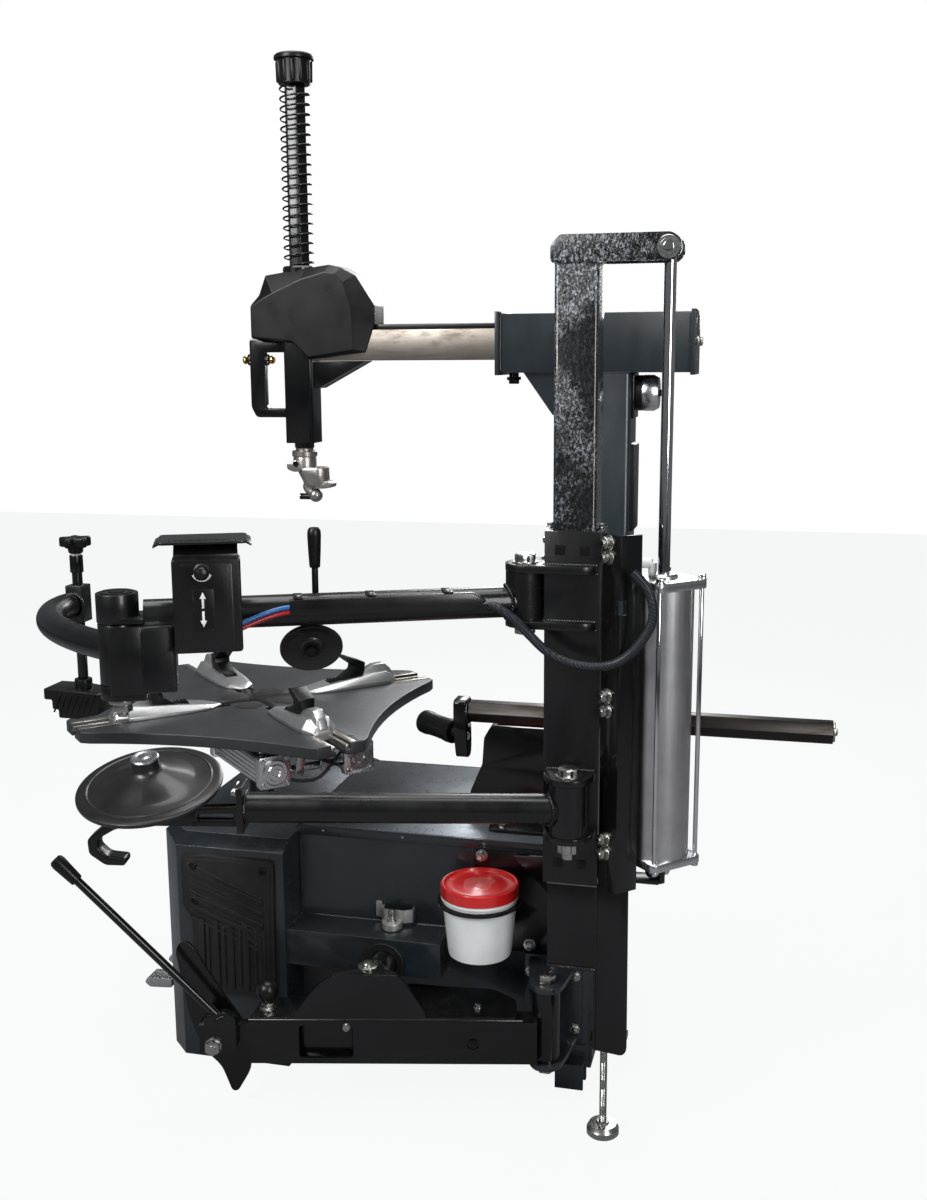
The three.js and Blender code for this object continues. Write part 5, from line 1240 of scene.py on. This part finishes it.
def build_control_box():
    x0, x1 = 30, 76
    box = Piece("control_box_body", "satin_black", "upper_arm", UP)
    face = panel(-636, -519, 1021, 1187, 7, 5)
    box.prism("x", face, x0, x1, 3.0, 3)
    box.prism("x", panel(-622, -533, 1030, 1178, 6), x1 - 2, x1 + 1.0, 0.8)
    box.box(-10, x0 + 2, -600, -560, 1106.6, 1115, 1)
    box.prism("y", [(x0, 1184), (x0, 1216), (x0 + 4, 1216), (x1, 1194), (x1, 1184)], -632, -523, 1.2)
    box.prism("z", panel(-20, 88, -658, -506, 12, 5), 1212.4, 1217.6, 1.6)
    box.prism("z", panel(-6, 72, -640, -524, 10, 5), 1216, 1219, 1.0)
    box.done(("control_box",))
    lip = Piece("control_box_lip", "satin_black", "upper_arm", UP)
    for s0, s1 in ((-664, -654), (-510, -500)):
        out = -1 if s0 < -600 else 1
        mid = (s0 + s1) / 2
        lip.prism(
            "x",
            [
                (mid - 5 * out, 1217.4), (mid - 5 * out, 1213), (mid + 6 * out, 1207.5),
                (mid + 6 * out, 1211.5),
            ],
            -14, 84, 0.8,
        )
    lip.done()
    Piece("direction_plate", "black_plastic", "upper_arm", UP).prism(
        "x", panel(-604, -566, 1060, 1134, 2), x1 + 0.6, x1 + 1.7, 0.3
    ).done()
    arrows = Piece("direction_arrows", "mark_white", "upper_arm", UP)
    s = -585
    for sign in (1, -1):
        mid = 1098
        points = [
            (s - 2, mid + sign * 2.5), (s + 2, mid + sign * 2.5), (s + 2, mid + sign * 19),
            (s + 5.5, mid + sign * 19),
            (s, mid + sign * 31), (s - 5.5, mid + sign * 19), (s - 2, mid + sign * 19),
        ]
        arrows.prism("x", points, x1 + 1.5, x1 + 2.2, 0.15)
    arrows.done()
    frame_line = Piece("direction_plate_frame", "satin_black", "upper_arm", UP)
    for y0, y1, z0, z1 in (
        (-602, -568, 1062, 1063), (-602, -568, 1131, 1132), (-602, -601, 1062, 1132), (-569, -568, 1062, 1132)
    ):
        frame_line.box(x1 + 1.4, x1 + 2.1, y0, y1, z0, z1, 0.1)
    frame_line.done()
    collar = Piece("joystick_collar", "mark_white", "upper_arm", UP)
    crescent = arc((s, 1165), 18, 205, 335, 20) + arc((s, 1167), 14.5, 335, 205, 20)
    collar.prism("x", crescent, x1 + 0.6, x1 + 2.2, 0.2)
    collar.done()
    Piece("joystick_boot", "rubber", "upper_arm", UP).lathe(
        [(0, 0), (14, 0), (14, 2), (11, 4), (11, 5), (8, 7), (8, 8), (5.6, 10), (0, 10)], (x1, s, 1165),
        (1, 0, 0), 40,
    ).done()
    Piece("joystick_knob", "black_plastic", "joystick", UP).lathe(
        [
            (0, -12), (4.6, -12), (4.6, 10), (7, 12), (11, 15), (13, 20), (12.6, 26), (9, 31), (4, 33),
            (0, 33.4),
        ],
        (x1, s, 1165), (1, 0, 0), 40,
    ).done(("joystick",))


def build_press_disc():
    side, s = -41, -385
    bracket = Piece("disc_bracket_body", "satin_black", "disc_bracket", UP)
    bracket.rod((side, s - 30, UP_Z), (side, s + 30, UP_Z), 11, bevel=1.5)
    bracket.rod((side, s, UP_Z), (side + 6, s, 1160), 6)
    root = Vector((-53, -395, 1006))
    axis = Vector((0.84, 0, -0.54)).normalized()
    bracket.rod((side, s, UP_Z), root - axis * 9, 8)
    bracket.rod(root - axis * 14, root + axis * 29, 7)
    bracket.done(("disc_bracket",))
    grip = Piece("lever_grip", "black_plastic", "disc_bracket", UP)
    up = (Vector((side + 10, s, 1222)) - Vector((side + 6, s, 1150))).normalized()
    grip.lathe(
        [(0, 0), (9, 0), (10, 2), (11.5, 30), (12.6, 60), (12, 68), (9, 73), (0, 74)], (side + 6, s, 1148),
        up, 40,
    )
    grip.done()
    Piece("press_disc_body", "disc_plastic", "press_disc", UP).lathe([
        (8, 5), (24, 4.6), (30, 6), (52, 11.5), (57, 12), (58, 14), (58, 18), (57, 20), (54, 20), (50, 17),
        (34, 15), (24, 14.6),
        (22, 17), (18, 18.6), (8, 18.6),
    ], root, axis, 72).done(("press_disc",), 40)
    Piece("press_disc_nut", "black_steel", "disc_bracket", UP).hexagon(root + axis * 19.5, axis, 22, 9).done()


def build_elbow():
    swing = math.radians(UP_TURN)
    ex, ey = UP_PIN[0] + ELBOW * math.sin(swing), UP_PIN[1] - ELBOW * math.cos(swing)
    z = 1018
    px, py = 405, -222
    arm = Piece("bent_arm_body", "satin_black", "elbow_arm")
    arm.post(ex, ey, 958.8, 1067.2, 36, bevel=1.2, sides=64)
    a, b = Vector((ex - 8, ey - 14, z)), Vector((ex - 88, ey - 185, z))
    c, d = Vector((535, -258, z + 4)), Vector((px + 14, py - 8, z + 8))
    curve = []
    for i in range(13):
        t = i / 12
        curve.append(a * (1 - t) ** 3 + b * 3 * t * (1 - t) ** 2 + c * 3 * t * t * (1 - t) + d * t ** 3)
    arm.tube(curve, 26, 40, 6)
    arm.prism("z", panel(px - 19, px + 19, py - 19, py + 19, 3), 990, 1066, 1.4)
    arm.weld([(px + 20, py + 21 * math.cos(a), z + 8 + 24 * math.sin(a)) for a in RING], 2.8)
    arm.done(("bent_arm",))
    rod = Piece("pusher_rod_body", "black_paint", "pusher")
    rod.post(px, py, 868, 1120, 10.4)
    rod.post(px, py, 1092, 1128, 13.5, bevel=1.2)
    rod.done(("pusher_rod",))
    Piece("pusher_rod_band", "mark_white", "pusher").post(px, py, 1127.6, 1134, 10, bevel=0.6).done()
    knob = Piece("pusher_star_knob", "black_plastic", "pusher")
    star = []
    for k in range(60):
        a = 2 * math.pi * k / 60
        r = 27 + 6 * math.cos(5 * a + 0.4)
        star.append((px + r * math.cos(a), py + r * math.sin(a)))
    knob.prism("z", star, 1145, 1165.5, 4.0, 3, 50)
    knob.lathe([(0, 1132), (13, 1132), (15, 1135), (16, 1146), (0, 1146)], (px, py, 0))
    knob.done((), 40)
    block = Piece("pusher_block_body", "black_plastic", "pusher")
    edge = [
        (py + 50, 800), (py + 50, 842), (py - 10, 850), (py - 74, 850), (py - 74, 826), (py - 56, 826),
        (py - 56, 806), (py - 42, 806),
        (py - 42, 788), (py, 788),
    ]
    block.prism("x", rounded(edge, 4, 3), px - 34, px + 34, 2)
    block.post(px, py, 838, 867.6, 18, bevel=2)
    for k in range(7):
        y = py + 40 - k * 13
        block.prism("x", [(y, 838), (y + 4, 838), (y - 12, 800), (y - 16, 800)], px + 33, px + 36, 0.7)
        block.prism("x", [(y, 838), (y + 4, 838), (y - 12, 800), (y - 16, 800)], px - 36, px - 33, 0.7)
    block.prism(
        "x", rounded([(py + 46, 836), (py + 46, 844), (py - 70, 849), (py - 70, 843)], 1), px + 33, px + 36,
        0.8,
    )
    block.done(("pusher_block",))


def build_roller():
    x, z = 300, 818
    Piece("hex_bar_body", "greasy_steel", "hex_bar").prism(
        "y", hexagon_outline(x, z, 41), 578, 1295, 0.9
    ).done(("hex_bar",))
    stop = Piece("hex_bar_stop", "zinc", "hex_bar")
    stop.rod((x, 1295, z), (x, 1299, z), 19, bevel=0.8)
    stop.hexagon((x, 1299, z), (0, 1, 0), 13, 4, washer=False)
    stop.done()
    crank = Piece("roller_crank", "black_paint", "hex_bar")
    edge = [(x - 24, z + 26), (x + 26, z + 26), (x + 26, z - 40), (x + 6, 718), (x - 24, 718), (x - 30, 740)]
    crank.prism("y", rounded(edge, 12), 556, 581, 2.2)
    start, axis = Vector((296, 566, 765)), Vector((-0.62, -0.785, 0)).normalized()
    crank.rod(start - axis * 8, start + axis * 14, 13, bevel=1.5)
    crank.weld([(x + 24 * math.cos(a), 582, z + 24 * math.sin(a)) for a in RING], 2.6)
    crank.done()
    pin = Piece("roller_pin", "zinc", "hex_bar")
    pin.rod(start - axis * 18, start + axis * 132, 9, bevel=1)
    pin.hexagon(start + axis * 127.5, axis, 16, 6)
    pin.done()
    Piece("roller_body", "black_plastic", "roller").lathe([
        (9.4, 24), (22, 24), (24.6, 26), (25, 40), (23.4, 52), (23, 76), (23.4, 100), (25, 112), (24.6, 125),
        (22, 127.4), (9.4, 127.4),
    ], start, axis, 64).done(("roller",))


def build_lower_arm():
    arm = Piece("lower_arm_body", "satin_black", "lower_arm", LOW)
    arm.lathe(
        [(14.3, 652.3), (33.5, 652.3), (34.5, 653.3), (34.5, 750.7), (33.5, 751.7), (14.3, 751.7)], (0, 0, 0)
    )
    arm.rod((0, -20, LOW_Z), (0, -601, LOW_Z), 28.4, bevel=0, sides=64)
    arm.weld(
        [(30.5 * math.cos(a), -36 + 9 * math.cos(a) ** 2, LOW_Z + 30.5 * math.sin(a)) for a in RING], 3.4
    )
    arm.weld([(29.5 * math.cos(a), -598, LOW_Z + 29.5 * math.sin(a)) for a in RING], 2.4)
    arm.prism("y", panel(-32, 32, 658, 748, 6), -612, -600, 1.4)
    for low, high in ((-15, -8), (8, 15)):
        arm.prism("x", rounded([(-602, 667), (-602, 677), (-700, 677), (-700, 667)], 2), low, high, 1)
        arm.prism("x", rounded([(-602, 693), (-602, 706), (-700, 700), (-700, 690)], 2), low, high, 1)
        arm.prism(
            "x", rounded([(-602, 669), (-602, 704), (-616, 704), (-622, 686), (-616, 669)], 2), low + 0.05,
            high - 0.05, 1,
        )
        arm.prism(
            "x", rounded([(-690, 667), (-690, 699), (-800, 693), (-812, 680), (-800, 667)], 6), low, high, 1.2
        )
    arm.box(-13, 13, -700, -602, 666, 674, 1.2)
    arm.box(-13, 13, -700, -602, 691, 699, 1.2)
    arm.box(-6, 6, -812, -735, 668, 692, 1)
    arm.prism("x", rounded(
        [
            (-790, 690), (-865, 668), (-898, 640), (-896, 612), (-866, 590), (-828, 589), (-826, 604),
            (-862, 608), (-880, 626), (-876, 642), (-845, 660), (-790, 672),
        ],
        7,
    ), -18, 18, 3.4, 3)
    lean = Matrix.Translation((0, -DISC_REACH, DISC_Z)) @ Matrix.Rotation(math.radians(-LOW_TURN), 4, "Z")
    lean = lean @ Matrix.Rotation(math.radians(DISC_LEAN), 4, "Y")
    arm.rod(lean @ Vector((0, 0, -66)), lean @ Vector((0, 0, 28)), 11, bevel=1)
    arm.done(("lower_arm",))
    bolts = Piece("lower_arm_bolts", "zinc", "lower_arm", LOW)
    for x, z in ((-22, 736), (22, 736)):
        bolts.hexagon((x, -612, z), (0, -1, 0), 13, 7)
    bolts.hexagon((15, -775, 680), (1, 0, 0), 15, 7)
    bolts.done()
    disc = Piece("lift_disc_body", "disc_plastic", "lift_disc", LOW @ lean)
    disc.lathe([
        (0, 34), (13, 34), (13, 1), (50, -3.6), (126, -9), (132, -9), (135, -7), (136, -4), (135.6, 0),
        (132, 2.4), (126, 3.4),
        (104, 6.2), (88, 8), (84, 9.4), (74, 13.5), (58, 21), (46, 26.5), (38, 30), (32, 33), (27, 37),
        (25, 42), (25, 56), (0, 56),
    ], (0, 0, 0), sides=120)
    disc.lathe([(112, 4.6), (115, 6.4), (118, 5.2), (118, 2.6), (112, 2.6)], (0, 0, 0), sides=120)
    disc.done(("lift_disc",), 40)
    Piece("lift_disc_cap", "bright_aluminium", "lift_disc", LOW @ lean).lathe(
        [
            (0, 55.5), (25, 55.5), (26, 56.5), (26, 59), (24, 61), (19, 61.3), (16, 60), (8, 60), (6, 61),
            (0, 61.2),
        ],
        (0, 0, 0), sides=72,
    ).done()


# ------------------------------------------------------------------ bead breaker and pedals

def build_breaker():
    refine("breaker_arm", "black_paint", 2.4, 3)
    refine("breaker_bracket", "blue_grey_paint", 2.0)
    refine("breaker_blade", "black_paint", 2.2, 3)
    refine("breaker_rod", "black_paint", 0.8)
    refine("breaker_pivot_bolt", "zinc", 0.8)
    recess = Piece("breaker_window_web", "black_paint", "breaker_arm", BRK)
    recess.box(20, 23, -508, -386, 118, 202, 0.8)
    recess.box(20, 38, -508, -386, 116, 119, 0.8)
    recess.done()
    Piece("breaker_beam_fold", "black_paint", "breaker_arm", BRK).rod(
        (38.6, -604, 206.6), (38.6, -48, 206.6), 3.4, bevel=0.8, sides=24
    ).done()
    pin = Piece("breaker_rod_pin", "zinc", "breaker_arm", BRK)
    pin.post(0, -363, 303.6, 308, 21, bevel=1)
    pin.lathe([(0, 307.6), (12, 307.6), (12, 312), (9, 315), (0, 315.6)], (0, -363, 0))
    pin.done()
    nuts = Piece("breaker_nuts", "zinc", "breaker_arm", BRK)
    nuts.post(4, -569, 213, 217, 17, bevel=0.8)
    nuts.prism("z", hexagon_outline(4, -569, 24), 217, 228, 1)
    nuts.post(4, -569, 228, 232, 7, bevel=0.4)
    nuts.hexagon((-4, -139, 213), (0, 0, 1), 13, 6)
    nuts.lathe([(0, 0), (9, 0), (9, 2), (7, 5), (3, 6.4), (0, 6.4)], (39.6, -405, 192), (1, 0, 0), 32)
    nuts.done()
    Piece("stop_knob", "black_plastic", "breaker_arm", BRK).lathe(
        [(0, 231), (12, 231), (13, 234), (20, 241), (23, 251), (21.6, 262), (15, 271), (7, 275), (0, 276)],
        (4, -569, 0), sides=48,
    ).done()
    lever = Piece("breaker_handle_bar", "black_paint", "breaker_arm", BRK)
    start, end = Vector((52, -655, 215)), Vector((52, -930, 510))
    way = (end - start).normalized()
    lever.rod(start - way * 18, end + way * 8, 8.5, bevel=0)
    lever.prism(
        "x", rounded([(-690, 150), (-625, 150), (-625, 222), (-650, 234), (-690, 222)], 8), 40.3, 60, 2
    )
    lever.weld([(60, -672, 210), (62.5, -660, 222), (60, -648, 226)], 2.6)
    lever.done(("breaker_handle",))
    Piece("breaker_grip", "black_plastic", "breaker_arm", BRK).lathe(
        [(0, 0), (11, 0), (12.4, 1.5), (13, 10), (14, 30), (15, 50), (14, 58), (10, 62), (0, 62.6)],
        end - way * 0.6, way, 48,
    ).done()
    bolt = Piece("blade_bolt", "zinc", "breaker_blade", BRK)
    bolt.rod((60.4, -672, 162), (62.4, -672, 162), 17, bevel=0.5)
    bolt.rod((62.4, -672, 162), (75, -672, 162), 16.4, bevel=1.2, sides=6)
    bolt.rod((75, -672, 162), (79, -672, 162), 8, bevel=0.8)
    bolt.done()
    base = Piece("breaker_bracket_bolts", "zinc", "base")
    for y, z in ((704, 120), (704, 240), (798, 120), (798, 240)):
        base.hexagon((252, y, z), (1, 0, 0), 16, 8)
    base.done()
    Piece("breaker_rod_boot", "rubber", "base").lathe(
        [(31, -6), (45, -6), (46, -5), (46, -1), (45, 0), (31, 0)], (336.2, 401, 262), (1, 0, 0), 64
    ).done()


def build_pedals():
    for i, x in enumerate((-180, -60, 60, 180)):
        name = "pedal_%d" % (i + 1)
        refine(name, "aluminium_cast", 2.2, 3)
        ribs = Piece(name + "_ribs", "aluminium_cast", name)
        for k in range(6):
            y = -216 + k * 9
            z = 95.8 + k * 0.35
            ribs.box(x - 21, x + 21, y, y + 4, z - 1, z + 2.2, 0.9)
        ribs.done()


# ------------------------------------------------------------------ hoses that cross the joints

def build_hoses():
    loop = Piece("braided_loop", "braid", None)
    loop.tube([
        (500, 654, 1074), (503, 685, 1073), (505, 720, 1052), (508, 746, 1027), (512, 781, 997),
        (516, 821, 980), (520, 866, 975),
        (520, 904, 982), (520, 937, 1006), (520, 965, 1046), (520, 972, 1080), (520, 964, 1114),
        (520, 949, 1135), (520, 935, 1149),
    ], 8.5, 24, 12)
    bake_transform(loop.done())


# ------------------------------------------------------------------ stage

def wire(tree, nodes, links):
    """Fills an empty node tree: {name: (type, {input: value})}, then (node, output, node, input) links."""
    tree.nodes.clear()
    made = {}
    for name, (kind, values) in nodes.items():
        made[name] = tree.nodes.new("ShaderNode" + kind)
        for key, value in values.items():
            made[name].inputs[key].default_value = value
    for source, output, target, entry in links:
        tree.links.new(made[source].outputs[output], made[target].inputs[entry])


def studio_floor():
    """Plain pale floor: near white to the eye, a calm grey to the light that it sends back."""
    material = bpy.data.materials.new("pale_floor")
    material.use_nodes = True
    wire(material.node_tree, {
        "output": ("OutputMaterial", {}), "path": ("LightPath", {}), "shade": ("MixShader", {}),
        "seen": ("MixShader", {"Fac": 0.05}),
        "glow": ("Emission", {"Color": (0.97, 0.975, 0.98, 1.0), "Strength": 0.985}),
        "bright": ("BsdfDiffuse", {"Color": (0.8, 0.8, 0.8, 1.0)}),
        "calm": ("BsdfDiffuse", {"Color": (0.22, 0.22, 0.23, 1.0)}),
    }, [
        ("glow", "Emission", "seen", 1), ("bright", "BSDF", "seen", 2),
        ("path", "Is Camera Ray", "shade", "Fac"),
        ("calm", "BSDF", "shade", 1), ("seen", "Shader", "shade", 2),
        ("shade", "Shader", "output", "Surface"),
    ])
    return material


def build_stage():
    scene = bpy.context.scene
    bm = bmesh.new()
    bmesh.ops.create_grid(bm, x_segments=8, y_segments=8, size=9.0)
    mesh = stored(bm, "floor")
    mesh.materials.append(studio_floor())
    floor = bpy.data.objects.new("floor", mesh)
    scene.collection.objects.link(floor)

    world = bpy.data.worlds.new("studio")
    world.use_nodes = True
    wire(world.node_tree, {
        "output": ("OutputWorld", {}), "mix": ("MixShader", {}), "path": ("LightPath", {}),
        "soft": ("Background", {"Color": (0.93, 0.96, 1.0, 1.0), "Strength": 0.13}),
        "white": ("Background", {"Color": (1.0, 1.0, 1.0, 1.0), "Strength": 1.0}),
    }, [
        ("path", "Is Camera Ray", "mix", "Fac"), ("soft", "Background", "mix", 1),
        ("white", "Background", "mix", 2), ("mix", "Shader", "output", "Surface"),
    ])
    scene.world = world
    scene.view_settings.view_transform = "Standard"

    def area(name, place, target, size, power):
        light = bpy.data.lights.new(name, "AREA")
        light.shape = "RECTANGLE"
        light.size, light.size_y = size
        light.energy = power
        lamp = bpy.data.objects.new(name, light)
        lamp.location = place
        lamp.rotation_euler = (Vector(target) - Vector(place)).to_track_quat("-Z", "Y").to_euler()
        scene.collection.objects.link(lamp)

    area("key_light", (3.2, -1.4, 3.4), (0.2, 0.3, 0.9), (1.4, 2.2), 150)
    area("side_light", (3.0, 3.0, 2.2), (0.3, 0.5, 0.8), (1.0, 2.4), 70)
    area("top_light", (0.0, 0.3, 4.2), (0.1, 0.3, 0.0), (2.6, 2.6), 90)
    area("back_light", (-2.8, 0.4, 2.6), (0.0, 0.3, 0.9), (1.4, 2.2), 60)

    yaw, pitch, roll = math.radians(104), math.radians(10.5), math.radians(-0.35)
    back = Vector((math.sin(yaw) * math.cos(pitch), -math.cos(yaw) * math.cos(pitch), math.sin(pitch)))
    right = (-back).cross(Vector((0, 0, 1))).normalized()
    up = right.cross(-back)
    right, up = right * math.cos(roll) + up * math.sin(roll), up * math.cos(roll) - right * math.sin(roll)
    lens = bpy.data.cameras.new("camera")
    lens.sensor_width = 36
    lens.lens = 39.3
    lens.clip_end = 60
    camera = bpy.data.objects.new("camera", lens)
    turn = Matrix((right, up, back)).transposed().to_4x4()
    camera.matrix_world = Matrix.Translation((2.8, 1.196, 1.523)) @ turn
    scene.collection.objects.link(camera)
    scene.camera = camera


build_cabinet()
build_pad()
build_support()
build_bucket()
build_tower()
build_table()
build_jaws()
build_clamp_cylinders()
build_column()
build_head()
build_shaft()
build_carriage()
build_lift()
build_upper_arm()
build_control_box()
build_press_disc()
build_elbow()
build_roller()
build_lower_arm()
build_breaker()
build_pedals()
build_hoses()
build_stage()
